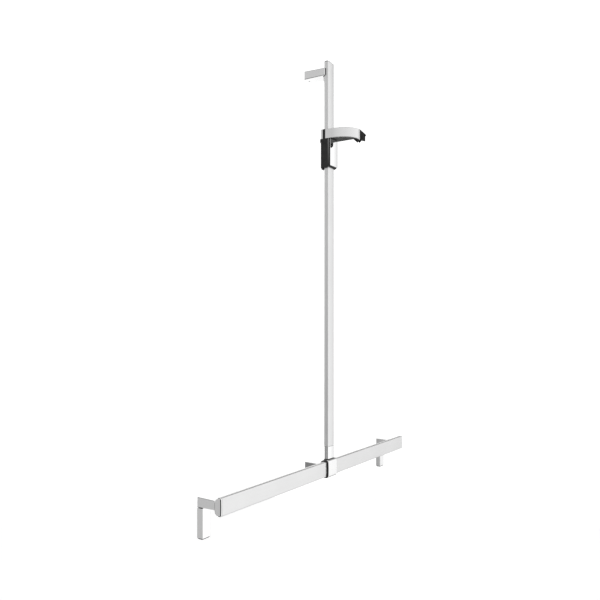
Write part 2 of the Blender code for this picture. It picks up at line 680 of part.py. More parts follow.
def make_paddle_spring():
    """Torsion spring on the pin, between the ears, with one leg up the plate and one down the sleeve."""
    turns, steps_per_turn, coil, wire, half_length = 6, 12, 1.75, 0.3, 4.0
    route = [Vector((-half_length, PIVOT_Y - coil, PIVOT_Z + 7))]
    total = turns * steps_per_turn + steps_per_turn // 2
    for k in range(total + 1):
        angle = math.pi + math.tau * k / steps_per_turn
        x = -half_length + 2 * half_length * k / total
        route.append(Vector((x, PIVOT_Y + coil * math.cos(angle), PIVOT_Z + coil * math.sin(angle))))
    route.append(Vector((half_length, PIVOT_Y + coil, PIVOT_Z - 7)))
    curve = bpy.data.curves.new("paddle_spring", "CURVE")
    curve.dimensions = "3D"
    curve.bevel_depth = wire * MM
    curve.bevel_resolution = 0
    curve.use_fill_caps = True
    spline = curve.splines.new("POLY")
    spline.points.add(len(route) - 1)
    for point, place in zip(spline.points, route):
        point.co = (*(place * MM), 1)
    curve.materials.append(bpy.data.materials["steel"])
    spring = bpy.data.objects.new("paddle_spring", curve)
    bpy.context.scene.collection.objects.link(spring)


# ---------------------------------------------------------------- holder arm and cradle


def pivot_axes():
    """The cradle's pivot axis and, square to it, the level direction that the cradle leans in."""
    turn = math.radians(PIVOT_TURN)
    pivot = Vector((math.cos(turn), math.sin(turn), 0))
    return pivot, Vector((pivot.y, -pivot.x, 0))


def arc_point(radius, degrees):
    angle = math.radians(degrees)
    return ARC_CENTRE - radius * Vector((math.cos(angle), math.sin(angle)))


def make_arm_core():
    """Black body of the arm. Its outer side follows the band, and its end faces the cradle squarely."""
    pivot, lean = pivot_axes()
    radius = BAND_RADIUS - BAND_WALL - SEAM
    to_centre = (ARC_CENTRE - CRADLE_CENTRE.xy).dot(pivot.xy) + FACET_DISTANCE
    end_angle = PIVOT_TURN + math.degrees(math.acos(to_centre / radius))
    side_x = ARC_CENTRE.x - radius
    arc = [arc_point(radius, end_angle * k / 14) for k in range(15)]
    back = CHEEK_FRONT_Y - 0.4
    channel_x = BAR_HALF_WIDTH + RUNNING_GAP
    channel_y = BAR_FRONT_Y - RUNNING_GAP
    corner = arc[-1] - lean.xy * ((CORE_RIGHT_X - arc[-1].x) / -lean.x)
    outline = [
        Vector((side_x, back)),
        *arc,
        corner,
        Vector((CORE_RIGHT_X, back)),
        Vector((channel_x, back)),
        Vector((channel_x, channel_y)),
        Vector((-channel_x, channel_y)),
        Vector((-channel_x, back)),
    ]
    rings = soft_prism("XY", outline, ARM_LEVEL_Z + 0.3, SLIDER_TOP_Z - 0.4, 0.6)
    core = piece("arm_core", rings, "black_plastic")
    for x, y in arm_screw_places():
        combine(core, turned((x, y, 0), (0, 0, 1), [(ARM_LEVEL_Z - 3, 1.3), (951, 1.3)]))
    combine(core, turned(CRADLE_CENTRE, -pivot, [(15, 1.9), (23, 1.9)]))


def band_bottom(degrees):
    """The band's lower edge, which dips towards the cradle."""
    share = max(0.0, degrees - BAND_DIP_START) / (BAND_END_ANGLE - BAND_DIP_START)
    return ARM_LEVEL_Z - BAND_DIP * share**2


def band_ring(degrees, straight_y=None):
    """Section of the band at an angle of its arc, or beside the bar at straight_y."""
    edge = BAND_EDGE
    bottom, top = band_bottom(degrees), SLIDER_TOP_Z
    outer, inner = BAND_RADIUS, BAND_RADIUS - BAND_WALL
    section = [(inner, bottom), (inner, top), (outer - edge, top), (outer, top - edge)]
    section += [(outer, bottom + edge), (outer - edge, bottom)]
    points = []
    for radius, z in section:
        place = arc_point(radius, degrees)
        y = place.y if straight_y is None else straight_y
        points.append(Vector((place.x, y, z)))
    return points


def make_band():
    steps = 26
    rings = [band_ring(0, BAND_START_Y)]
    end = TRIM_START_ANGLE - TRIM_SEAM_ANGLE
    rings += [band_ring(end * k / steps) for k in range(steps + 1)]
    piece("arm_band", rings, "chrome")
    middle = (TRIM_START_ANGLE + BAND_END_ANGLE) / 2
    rings = [band_ring(degrees) for degrees in (TRIM_START_ANGLE, middle, BAND_END_ANGLE)]
    piece("arm_end_trim", rings, "anodised_aluminium")


def make_cradle():
    """Slotted clip with a tapered bore, two lips beside its slot and a boss on its pivot."""
    pivot, lean = pivot_axes()
    tilt = math.radians(CRADLE_TILT)
    up = Vector((0, 0, 1))
    axis = lean * math.sin(tilt) + up * math.cos(tilt)
    front = lean * math.cos(tilt) - up * math.sin(tilt)

    def place(forward, along, across):
        return CRADLE_CENTRE + front * forward + axis * along + pivot * across

    def block(outline, low, high):
        return [[place(f, a, across) for f, a in outline] for across in (low, high)]

    half = CRADLE_HALF_LENGTH
    radius = CRADLE_RADIUS
    profile = [(-half, radius - 0.9), (-half + 0.9, radius - 0.1)]
    profile += [(half - 0.8, radius + 0.1), (half, radius - 0.6)]
    cradle = piece("hose_cradle", turned(CRADLE_CENTRE, axis, profile, 40), "black_plastic")
    combine(cradle, turned(CRADLE_CENTRE, -pivot, [(9, 6.2), (15, 6.2), (15.5, 5.7)], 24), "UNION")
    lip = [(8, -5.2), (20.3, 1.2), (8, 14)]
    for low, high in ((SLOT_HALF_WIDTH - 1, 9.0), (-9.0, -SLOT_HALF_WIDTH + 1)):
        combine(cradle, block(lip, low, high), "UNION")
    flare = [(-half - 2, CRADLE_BORE_BOTTOM), (half - 1.2, CRADLE_BORE_TOP)]
    flare.append((half + 2, CRADLE_BORE_TOP + 2.4))
    combine(cradle, turned(CRADLE_CENTRE, axis, flare, 40))
    slot = [(0, -30), (30, -30), (30, 30), (0, 30)]
    combine(cradle, block(slot, -SLOT_HALF_WIDTH, SLOT_HALF_WIDTH))
    step = [(3.3, -30), (30, -30), (30, -half + 3.8), (3.3, -half + 3.8)]
    combine(cradle, block(step, -20, 20))
    combine(cradle, turned(CRADLE_CENTRE, -pivot, [(6, 4.0), (12.6, 4.0), (12.6, 1.9), (18, 1.9)], 20))

    profile = [(10.4, 3.2), (10.8, 3.6), (12.25, 3.6), (12.25, 1.6), (22.2, 1.6), (22.6, 1.2)]
    piece("cradle_screw", turned(CRADLE_CENTRE, -pivot, profile, 16), "steel")
    washer = [(15.8, 2.3), (15.8, 4.4), (17.0, 4.4), (17.0, 2.3)]
    piece("cradle_washer", turned(CRADLE_CENTRE, -pivot, washer, 20), "rubber", wrap=True)


def make_arm_screws():
    profile = [(DECK_Z - 2.4, 1.0), (DECK_Z - 2, 1.3), (DECK_Z - GAP, 1.3)]
    profile += [(DECK_Z - GAP, 1.0), (949.5, 1.0)]
    for name, (x, y) in zip(("left", "right"), arm_screw_places()):
        piece(f"arm_screw_{name}", turned((x, y, 0), (0, 0, 1), profile, 12), "steel")


# ---------------------------------------------------------------- the whole object


def main():
    for obj in list(bpy.data.objects):
        bpy.data.objects.remove(obj)
    make_materials()
    make_rail()
    make_end_cap("rail_end_cap_left", -1)
    make_end_cap("rail_end_cap_right", 1)
    make_clamp_blocks()
    make_end_bracket("left", -END_BRACKET_X)
    make_end_bracket("right", END_BRACKET_X)
    make_middle_bracket()
    make_top_bracket()
    make_bracket_screws()
    make_grub_screws()
    make_collar()
    make_riser()
    make_slider_body()
    make_rear_yoke()
    make_paddle()
    make_paddle_spring()
    make_arm_core()
    make_band()
    make_cradle()
    make_arm_screws()


main()
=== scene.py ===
"""Looks of the wall-mounted shower grab rail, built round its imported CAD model.

The frame is in metres: X along the rail, Y into the wall, whose face is Y = 0, and Z up.
"""

import json
import math

import bmesh
import bpy
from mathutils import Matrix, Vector


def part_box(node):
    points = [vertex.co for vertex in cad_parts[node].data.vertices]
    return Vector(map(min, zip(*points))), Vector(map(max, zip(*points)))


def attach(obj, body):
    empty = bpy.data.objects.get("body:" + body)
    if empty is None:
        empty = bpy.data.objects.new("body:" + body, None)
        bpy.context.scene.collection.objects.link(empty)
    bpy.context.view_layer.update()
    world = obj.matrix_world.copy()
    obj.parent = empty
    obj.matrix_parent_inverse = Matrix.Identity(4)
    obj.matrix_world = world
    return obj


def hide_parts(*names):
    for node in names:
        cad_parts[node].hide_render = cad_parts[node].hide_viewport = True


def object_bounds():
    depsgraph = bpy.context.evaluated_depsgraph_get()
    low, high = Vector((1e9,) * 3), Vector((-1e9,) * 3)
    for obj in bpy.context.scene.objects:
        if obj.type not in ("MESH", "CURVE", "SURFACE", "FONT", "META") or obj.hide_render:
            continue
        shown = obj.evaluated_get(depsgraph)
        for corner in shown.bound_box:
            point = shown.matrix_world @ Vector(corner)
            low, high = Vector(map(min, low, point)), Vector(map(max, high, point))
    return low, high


MM = 0.001

# Camera, at the photograph's viewing angle: level, in front of the wall and left of the rail.
CAMERA_PLACE = Vector((-1.676, -1.030, 0.408))
CAMERA_AIM = Vector((0.8459, 0.5334, 0.0))
CAMERA_LENS = 40.27
CAMERA_SENSOR = 36.0
CAMERA_SHIFT_Y = 0.0417

# Studio.
FLOOR_DROP = 0.62  # below the lowest part
WHITE_LEVEL = 1.20  # behind the object
FLOOR_RADIUS = 2.4

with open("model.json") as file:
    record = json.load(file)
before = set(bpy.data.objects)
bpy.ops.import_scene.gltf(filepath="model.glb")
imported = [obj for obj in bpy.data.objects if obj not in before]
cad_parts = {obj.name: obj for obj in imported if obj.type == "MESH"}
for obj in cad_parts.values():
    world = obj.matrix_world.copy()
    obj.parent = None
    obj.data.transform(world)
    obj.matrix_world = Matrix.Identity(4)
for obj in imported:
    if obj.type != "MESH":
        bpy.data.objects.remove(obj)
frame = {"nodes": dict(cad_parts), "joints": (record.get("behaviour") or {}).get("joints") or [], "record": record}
cad_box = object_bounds()


# ---------------------------------------------------------------- camera and studio


def make_camera():
    data = bpy.data.cameras.new("camera")
    data.lens = CAMERA_LENS
    data.sensor_width = CAMERA_SENSOR
    data.shift_y = CAMERA_SHIFT_Y
    data.clip_end = 60
    camera = bpy.data.objects.new("camera", data)
    camera.location = CAMERA_PLACE
    camera.rotation_mode = "QUATERNION"
    camera.rotation_quaternion = CAMERA_AIM.to_track_quat("-Z", "Y")
    bpy.context.scene.collection.objects.link(camera)
    bpy.context.scene.camera = camera


# Studio walls: the levels that a mirror sees, as (azimuth from +X in degrees, level). Reflections that
# leave the object upwards see the upper ring, and those that leave it downwards see the lower one.
UPPER_WALLS = [
    (-180, 0.70),
    (-135, 0.78),
    (-90, 0.90),
    (-60, 0.95),
    (-48, 1.06),
    (-37, 1.22),
    (-26, 0.99),
    (-18, 0.78),
    (-8, 0.60),
    (4, 0.50),
    (18, 1.10),
    (40, 1.20),
    (120, 1.20),
    (136, 0.64),
    (155, 0.60),
    (180, 0.70),
]
LOWER_WALLS = [
    (-180, 0.72),
    (-148, 0.74),
    (-90, 0.80),
    (-60, 0.92),
    (-48, 1.10),
    (-38, 1.20),
    (-29, 1.05),
    (-22, 0.95),
    (-16, 0.74),
    (-6, 0.56),
    (8, 0.50),
    (20, 1.10),
    (36, 1.20),
    (47, 0.45),
    (62, 0.45),
    (76, 1.15),
    (122, 1.10),
    (136, 0.57),
    (143, 0.53),
    (146.5, 0.45),
    (147.8, 0.20),
    (149.7, 0.18),
    (150.2, 0.52),
    (151.1, 0.52),
    (151.6, 0.16),
    (153.0, 0.18),
    (154.4, 0.47),
    (157, 0.50),
    (168, 0.66),
    (180, 0.72),
]
# Reflections that leave it more steeply downwards see a dark gap between 44 and 130 degrees.
GAP_WALLS = [(azimuth, 0.02 if 44 < azimuth < 130 else level) for azimuth, level in LOWER_WALLS]
RING_BLEND = (-0.06, 0.16)  # Z of the direction where the lower ring turns into the upper one
GAP_BLEND = (-0.25, -0.21)  # and where the ring with the gap turns into the lower one

# Patches of other levels on the studio's ceiling, walls and floor: direction, the angles in degrees
# where the patch is full and where it ends, and its level.
STUDIO_PATCHES = [
    ((-0.20, 0.50, 0.84), 14, 24, 0.35),
    ((0.35, 0.42, 0.83), 14, 32, 0.10),
    ((0.55, 0.05, 0.83), 16, 26, 0.15),
    ((0.80, -0.15, 0.57), 12, 22, 0.40),
    ((0.75, 0.26, -0.61), 12, 22, 0.45),
    ((0.82, 0.28, 0.50), 9, 16, 0.08),
    ((0.30, 0.62, -0.72), 14, 24, 0.02),
    ((0.00, 0.00, -1.00), 28, 38, 0.15),
    ((-0.61, -0.75, -0.26), 8, 18, 0.02),
]


def make_world():
    """White studio: three rings of walls and a few patches, which only reflections see."""
    world = bpy.data.worlds.new("studio")
    bpy.context.scene.world = world
    world.use_nodes = True
    nodes, links = world.node_tree.nodes, world.node_tree.links
    where = nodes.new("ShaderNodeTexCoord").outputs["Generated"]

    def mapped(value, low, high, smooth=True):
        """0 to 1 as the value goes from low to high."""
        ramp = nodes.new("ShaderNodeMapRange")
        ramp.interpolation_type = "SMOOTHSTEP" if smooth else "LINEAR"
        ramp.inputs["From Min"].default_value = low
        ramp.inputs["From Max"].default_value = high
        links.new(value, ramp.inputs["Value"])
        return ramp.outputs["Result"]

    def mixed(factor, first, second):
        """The first at factor 0 and the second at 1, each a level or a socket."""
        mix = nodes.new("ShaderNodeMix")
        mix.data_type = "RGBA"
        links.new(factor, mix.inputs["Factor"])
        for socket, value in (("A", first), ("B", second)):
            if isinstance(value, float):
                mix.inputs[socket].default_value = (value, value, value, 1)
            else:
                links.new(value, mix.inputs[socket])
        return mix.outputs["Result"]

    def wall(share, walls):
        """Level of one ring of walls at a share of the way round."""
        ramp = nodes.new("ShaderNodeValToRGB")
        stops = ramp.color_ramp.elements
        for azimuth, _ in walls[1:-1]:
            stops.new((azimuth + 180) / 360)
        for stop, (azimuth, level) in zip(stops, walls):
            stop.position = (azimuth + 180) / 360
            stop.color = (level, level, level, 1)
        links.new(share, ramp.inputs["Fac"])
        return ramp.outputs["Color"]

    axes = nodes.new("ShaderNodeSeparateXYZ")
    links.new(where, axes.inputs["Vector"])
    azimuth = nodes.new("ShaderNodeMath")
    azimuth.operation = "ARCTAN2"
    links.new(axes.outputs["Y"], azimuth.inputs[0])
    links.new(axes.outputs["X"], azimuth.inputs[1])
    share = mapped(azimuth.outputs["Value"], -math.pi, math.pi, smooth=False)
    near_floor = mapped(axes.outputs["Z"], *GAP_BLEND)
    colour = mixed(near_floor, wall(share, GAP_WALLS), wall(share, LOWER_WALLS))
    colour = mixed(mapped(axes.outputs["Z"], *RING_BLEND), colour, wall(share, UPPER_WALLS))
    for direction, full, end, level in STUDIO_PATCHES:
        dot = nodes.new("ShaderNodeVectorMath")
        dot.operation = "DOT_PRODUCT"
        dot.inputs[1].default_value = Vector(direction).normalized()
        links.new(where, dot.inputs[0])
        near = mapped(dot.outputs["Value"], math.cos(math.radians(end)), math.cos(math.radians(full)))
        colour = mixed(near, colour, level)
    path = nodes.new("ShaderNodeLightPath")
    colour = mixed(path.outputs["Is Camera Ray"], colour, WHITE_LEVEL)
    links.new(colour, nodes["Background"].inputs["Color"])


def make_floor():
    """Plain pale floor, well below what hangs on the wall."""
    lowest = cad_box[0].z - FLOOR_DROP
    mesh = bmesh.new()
    bmesh.ops.create_circle(mesh, cap_ends=True, segments=96, radius=FLOOR_RADIUS)
    data = bpy.data.meshes.new("floor")
    mesh.to_mesh(data)
    mesh.free()
    floor = bpy.data.objects.new("floor", data)
    floor.location = (0, 0, lowest)
    bpy.context.scene.collection.objects.link(floor)
    material = bpy.data.materials.new("floor_white")
    material.use_nodes = True
    shader = material.node_tree.nodes["Principled BSDF"]
    shader.inputs["Base Color"].default_value = (0.92, 0.92, 0.92, 1)
    shader.inputs["Roughness"].default_value = 0.9
    shader.inputs["Emission Color"].default_value = (1, 1, 1, 1)
    shader.inputs["Emission Strength"].default_value = 0.35
    data.materials.append(material)
    floor.visible_glossy = False


def make_lights():
    """Large soft boxes that only shape the matt surfaces: the studio's own walls make the reflections."""
    boxes = [
        ("overhead", (-0.3, -0.9, 2.6), (0, 0, 0.4), 2.2, 14),
        ("left_fill", (-2.4, -1.2, 0.8), (0, 0, 0.5), 1.6, 8),
    ]
    for name, place, aim, size, power in boxes:
        data = bpy.data.lights.new(name, "AREA")
        data.size = size
        data.energy = power
        lamp = bpy.data.objects.new(name, data)
        lamp.location = place
        lamp.rotation_mode = "QUATERNION"
        lamp.rotation_quaternion = (Vector(aim) - Vector(place)).to_track_quat("-Z", "Y")
        lamp.visible_glossy = False
        bpy.context.scene.collection.objects.link(lamp)


# ---------------------------------------------------------------- materials

# Where the painted highlight on the slanted flanks of the slider's sleeve starts and is full, in metres.
FLANK_HIGHLIGHT_OUT = (0.0212, 0.0216)  # distance from the bar's middle plane
FLANK_HIGHLIGHT_FORWARD = (-0.0800, -0.0812)  # Y
FLANK_HIGHLIGHT_UP = (0.860, 0.935)  # Z


class Paint:
    """A procedural material: a Principled shader with nodes that read the frame's own coordinates."""

    def __init__(self, name, metallic, **sockets):
        self.material = bpy.data.materials.new(name)
        self.material.use_nodes = True
        tree = self.material.node_tree
        self.nodes, self.links = tree.nodes, tree.links
        self.shader = self.nodes["Principled BSDF"]
        self.shader.inputs["Metallic"].default_value = metallic
        for socket, value in sockets.items():
            self.shader.inputs[socket.replace("_", " ")].default_value = value
        self.place = self.nodes.new("ShaderNodeTexCoord").outputs["Object"]

    def noise(self, scale, detail=3.0, roughness=0.55):
        """Noise whose scale is waves per metre along X, Y and Z."""
        mapping = self.nodes.new("ShaderNodeMapping")
        mapping.inputs["Scale"].default_value = scale
        self.links.new(self.place, mapping.inputs["Vector"])
        noise = self.nodes.new("ShaderNodeTexNoise")
        noise.inputs["Scale"].default_value = 1.0
        noise.inputs["Detail"].default_value = detail
        noise.inputs["Roughness"].default_value = roughness
        self.links.new(mapping.outputs["Vector"], noise.inputs["Vector"])
        return noise.outputs["Fac"]

    def spread(self, value, low, high, start=0.3, end=0.7):
        """low to high as the value goes from start to end."""
        ramp = self.nodes.new("ShaderNodeMapRange")
        ramp.inputs["From Min"].default_value = start
        ramp.inputs["From Max"].default_value = end
        ramp.inputs["To Min"].default_value = low
        ramp.inputs["To Max"].default_value = high
        self.links.new(value, ramp.inputs["Value"])
        return ramp.outputs["Result"]

    def blend(self, value, first, second):
        mix = self.nodes.new("ShaderNodeMix")
        mix.data_type = "RGBA"
        self.links.new(value, mix.inputs["Factor"])
        mix.inputs["A"].default_value = (*first, 1)
        mix.inputs["B"].default_value = (*second, 1)
        return mix.outputs["Result"]

    def flank_highlight_mask(self):
        """1 on the slanted flanks of the slider's sleeve, where a highlight is painted, and less towards its foot.
        """
        axes = self.nodes.new("ShaderNodeSeparateXYZ")
        self.links.new(self.place, axes.inputs["Vector"])
        out = self.nodes.new("ShaderNodeMath")
        out.operation = "ABSOLUTE"
        self.links.new(axes.outputs["X"], out.inputs[0])
        share = self.spread(out.outputs["Value"], 0, 1, *FLANK_HIGHLIGHT_OUT)
        for axis, limits in (("Y", FLANK_HIGHLIGHT_FORWARD), ("Z", FLANK_HIGHLIGHT_UP)):
            product = self.nodes.new("ShaderNodeMath")
            product.operation = "MULTIPLY"
            self.links.new(share, product.inputs[0])
            self.links.new(self.spread(axes.outputs[axis], 0, 1, *limits), product.inputs[1])
            share = product.outputs["Value"]
        return share

    def feed(self, output, socket):
        self.links.new(output, self.shader.inputs[socket])

    def colour(self, value, first, second):
        """Base colour that goes from the first to the second as the value goes from 0 to 1."""
        self.feed(self.blend(value, first, second), "Base Color")

    def bump(self, height, distance, strength=1.0):
        bump = self.nodes.new("ShaderNodeBump")
        bump.inputs["Strength"].default_value = strength
        bump.inputs["Distance"].default_value = distance
        self.links.new(height, bump.inputs["Height"])
        self.feed(bump.outputs["Normal"], "Normal")


def chrome():
    """Polished plate: a mirror with faint wiping marks and the slow waviness of a buffed surface."""
    paint = Paint("chrome", 1.0)
    smears = paint.noise((30, 30, 30), 5)
    paint.feed(paint.spread(smears, 0.045, 0.085), "Roughness")
    paint.colour(paint.spread(smears, 0, 1), (0.905, 0.905, 0.905), (0.88, 0.88, 0.882))
    paint.bump(paint.noise((55, 55, 55), 1), 0.00006, 0.08)
    return paint.material


def anodised(name, streaks, roughness):
    """Satin anodised aluminium, with die lines along the extrusion."""
    paint = Paint(name, 1.0)
    lines = paint.noise(streaks, 4, 0.6)
    clouds = paint.noise((9, 9, 9), 2)
    paint.feed(paint.spread(lines, *roughness), "Roughness")
    paint.colour(paint.spread(clouds, 0, 1), (0.80, 0.80, 0.80), (0.77, 0.77, 0.77))
    paint.bump(lines, 0.00004, 0.5)
    return paint.material


def black_plastic(name):
    """Injection-moulded black with a fine spark-eroded grain, a little lighter where it is rubbed; the sleeve's
    copy also gets a painted highlight on its slanted flanks.
    """
    paint = Paint(name, 0.0, Specular_IOR_Level=0.15)
    grain = paint.noise((2600, 2600, 2600), 2)
    wear = paint.noise((70, 70, 70), 5)
    paint.feed(paint.spread(wear, 0.42, 0.55), "Roughness")
    colour = paint.blend(paint.spread(wear, 0, 1), (0.017, 0.017, 0.017), (0.026, 0.026, 0.026))
    # The sleeve's slanted flanks get a painted highlight: light grey mixed into the black, less towards the foot.
    if name == "sleeve_plastic_painted_highlight":
        mix = paint.nodes.new("ShaderNodeMix")
        mix.data_type = "RGBA"
        paint.links.new(paint.flank_highlight_mask(), mix.inputs["Factor"])
        paint.links.new(colour, mix.inputs["A"])
        mix.inputs["B"].default_value = (0.15, 0.15, 0.15, 1)
        colour = mix.outputs["Result"]
    paint.feed(colour, "Base Color")
    paint.bump(grain, 0.00005, 0.4)
    return paint.material


def steel():
    """Zinc-plated steel: a bluish mottled plate over fine grinding marks."""
    paint = Paint("steel", 1.0)
    marks = paint.noise((240, 240, 2400), 4)
    mottle = paint.noise((120, 120, 120), 4)
    paint.feed(paint.spread(mottle, 0.26, 0.44), "Roughness")
    paint.colour(paint.spread(mottle, 0, 1), (0.56, 0.57, 0.59), (0.46, 0.47, 0.49))
    paint.bump(marks, 0.00004, 0.4)
    return paint.material


def zinc():
    """Die-cast zinc with the dull, slightly pebbled skin of the mould."""
    paint = Paint("zinc", 1.0)
    skin = paint.noise((520, 520, 520), 4)
    paint.feed(paint.spread(skin, 0.40, 0.58), "Roughness")
    paint.colour(paint.spread(skin, 0, 1), (0.48, 0.49, 0.50), (0.41, 0.42, 0.43))
    paint.bump(skin, 0.00008, 0.4)
    return paint.material


def rubber():
    """Matt rubber with a fine speckle of talc."""
    paint = Paint("rubber", 0.0, Specular_IOR_Level=0.35)
    speckle = paint.noise((1500, 1500, 1500), 3)
    paint.feed(paint.spread(speckle, 0.72, 0.88), "Roughness")
    paint.colour(paint.spread(speckle, 0, 1, 0.5, 0.8), (0.016, 0.016, 0.016), (0.04, 0.04, 0.04))
    paint.bump(speckle, 0.00008, 0.5)
    return paint.material


def make_materials():
    return {
        "chrome": chrome(),
        "rail_aluminium": anodised("rail_aluminium", (4, 1800, 1800), (0.27, 0.38)),
        "bar_aluminium": anodised("bar_aluminium", (1800, 1800, 4), (0.30, 0.38)),
        "black_plastic": black_plastic("black_plastic"),
        "sleeve_plastic_painted_highlight": black_plastic("sleeve_plastic_painted_highlight"),
        "steel": steel(),
        "zinc": zinc(),
        "rubber": rubber(),
    }


def node_material(node, slot):
    """Name of a node's material: extrusions differ in the way that their die lines run."""
    # The sleeve's material has a painted highlight on its flanks.
    if node == "slider_body":
        return "sleeve_plastic_painted_highlight"
    if slot != "anodised_aluminium":
        return slot
    return "rail_aluminium" if node == "grab_rail" else "bar_aluminium"


def paint_nodes(materials):
    """Every CAD node gets the material of its slot."""
    for row in frame["record"]["subparts"]:
        node, slot = row["node"], row["material_slot"]
        data = frame["nodes"][node].data
        data.materials.clear()
        data.materials.append(materials[node_material(node, slot)])


# ---------------------------------------------------------------- outlines, in millimetres


def span(node):
    """Lowest and highest corner of a CAD node, in millimetres."""
    low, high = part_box(node)
    return low / MM, high / MM


RAIL_LOW, RAIL_HIGH = span("grab_rail")
BAR_LOW, BAR_HIGH = span("riser_bar")
SLEEVE_LOW, SLEEVE_HIGH = span("slider_body")
YOKE_LOW, YOKE_HIGH = span("rear_yoke")
PADDLE_LOW, PADDLE_HIGH = span("release_paddle")
BAND_LOW, BAND_HIGH = span("arm_band")
CORE_LOW, CORE_HIGH = span("arm_core")

GAP = 0.35  # between pieces that touch
SEAM = 0.3  # visible joint between neighbouring covers
RIM = 0.3  # broken edge of a flat end
CIRCLE_SIDES = 72
FAR = 30.0  # reach of a cut that goes right through

# Rail, its caps and brackets.
RAIL_BACK_RADIUS = 12.5
RAIL_FRONT_RADIUS = 3.0
RAIL_CROWN = 0.6
RAIL_WALL = 2.5
CAP_LENGTH = 5.6
CAP_RIM = [(2.5, 0.0), (2.2, 0.1), (2.0, 0.25), (0.3, 1.95), (0.12, 2.3), (0.0, 2.85)]  # drop and inset
CAP_PLUG = 8.0
CAP_PLUG_RIM = 0.12
ARM_BOTTOM_Z = -14.0
ARM_EDGE = 1.2
ARM_FALL = 2.4
ARM_WALL = 3.0
LEG_WALL = 1.8
LEG_RADIUS = 2.2
LEG_CHAMFER = 3.1
LEG_NOTCH_HALF_WIDTH = 12.75
LEG_NOTCH_DEPTH = 8.0
LEG_GRUB_Y = -4.0
POCKET_DEPTH = 48.0
POCKET_TOP_Z = 5.2
POCKET_FLOOR = 2.5
PLATE_HOLES = [(-7.6, -3.2), (7.6, -3.2)]  # X and Z from the arm's own lines
END_PLATE_HOLES = [(0, -28), (0, -66)]
PLATE_HOLE_RADIUS = 2.6
COUNTERSINK_RADIUS = 6.0
COUNTERSINK_DEPTH = 2.4
PLATE_CORNER = 1.5
PLATE_EDGE = 0.4
SCREW_Z = -3.0
SCREW_RADIUS = 3.0
SCREW_BORE_RADIUS = 3.4
HEAD_RADIUS = 5.0
HEAD_EDGE = 0.6
HEAD_SOCKET_RADIUS = 2.3
HEAD_SOCKET_DEPTH = 2.4
GRUB_Y = -5.5
GRUB_RADIUS = 2.0
GRUB_BORE_RADIUS = 2.4
GRUB_SOCKET_RADIUS = 1.15
GRUB_SOCKET_DEPTH = 1.6
TOP_ARM_CLEARANCE = 1.65  # round the bar, for the seal

# Riser, its foot and the collar.
BAR_FRONT_RADIUS = 0.8
BAR_CROWN = 0.8
BAR_BACK_RISE = 10.0
BAR_WALL = 2.0
BAR_CAP_CHAMFER = 2.7
RISER_RIM = 0.2
SOCKET_GROWTH = 0.2
SOCKET_BELLY = 0.05
COLLAR_EDGE = 1.5
COLLAR_OUTER = 4.0
COLLAR_INNER = 1.6
LINER_OUTER = 1.25
LINER_FLANGE = 3.8
GASKET_DEPTH = 1.4
WINDOW_HALF_WIDTH = 17.2
WINDOW_BELOW = 0.8  # past the middle arm's bottom
WINDOW_ABOVE = 1.3  # short of its top

# Slider's sleeve and yoke.
RUNNING_GAP = 0.4
SLEEVE_EDGE = 0.5
LIP_EDGE = 0.6
YOKE_EDGE = 0.8
NOSE_Y = SLEEVE_LOW.y
NOSE_STEP = 2.2
NOSE_HALF_WIDTH = 19.8
FLANK_Y = -79.5
FLANK_STEP = 1.4
CHIN_START_Y = -75.0
CHIN_RISE = 3.8
REAR_LIP_DROP = 3.7
REAR_LIP_FRONT_Y = -63.0
REAR_LIP_BACK_Y = -55.6
REAR_LIP_HALF_WIDTH = 19.0
SLEEVE_BACK_Y = -54.8
BACK_RADIUS = 7.0
FLANGE_HEIGHT = 8.5
CHEEK_FRONT_Y = -70.7
CHEEK_SEAM = 0.6
RECESS_HALF_WIDTH = 17.6
RECESS_FLOOR_Y = -83.2
RECESS_BOTTOM_Z = 864.0
DECK_Z = 926.0
WELL_HALF_WIDTH = 8.2
WELL_BOTTOM_Z = 904.5
WELL_TOP_Z = 921.5
PIN_BORE_RADIUS = 1.35
PIN_BORE_HALF_LENGTH = 18.9

# Release paddle.
PADDLE_BACK_Y = -87.9
PADDLE_CROWN = 1.2
PADDLE_EDGE = 0.8
LUG_FRONT_Y = -88.7  # where the ears and the boss start, inside the plate
EAR_INNER_X = 11.5
EAR_WIDTH = 3.0
EAR_HALF_HEIGHT = 3.5
EAR_BACK_Y = -83.6
BOSS_HALF_WIDTH = 7.8
BOSS_BACK_Y = -84.65
BOSS_BOTTOM_Z = 906.0
BOSS_TOP_Z = 920.0
PAD_GROOVES_Z = (909.0, 913.0, 917.0)
PAD_GROOVE_DEPTH = 0.65
PAD_GROOVE_HALF_HEIGHT = 0.4

# Holder arm and cradle.
ARC_CENTRE = Vector((45.7, -90.5))
BAND_RADIUS = ARC_CENTRE.x - BAND_LOW.x
BAND_WALL = 1.8
BAND_EDGE = 0.9
BAND_END_ANGLE = 76.0
TRIM_START_ANGLE = 73.6
TRIM_SEAM_ANGLE = 1.0
BAND_DIP = 4.3
BAND_DIP_START = 58.0
CORE_EDGE = 0.6
CRADLE_TURN = 10.0
CRADLE_TILT = 45.0
CRADLE_HALF_LENGTH = 16.2
CRADLE_RADIUS = 12.95
CRADLE_BORE_TOP = 10.4
CRADLE_BORE_BOTTOM = 9.2
SLOT_HALF_WIDTH = 6.0
LIP_HALF_WIDTH = 9.0
FACET_DISTANCE = 17.3  # from the cradle's axis to the arm's end
HUB_RADIUS = 6.2
CRADLE_SCREW_RADIUS = 1.6
CRADLE_SCREW_BORE_RADIUS = 1.9
CROSS_HALF_LENGTH = 2.4
CROSS_HALF_WIDTH = 0.4


def joint_place(name):
    """A joint's pivot point, in millimetres."""
    joint = next(row for row in frame["joints"] if row["name"] == name)
    return Vector(joint["pos_m"]) / MM


CRADLE_CENTRE = joint_place("cradle_tilt")
PADDLE_PIVOT = joint_place("paddle_press")


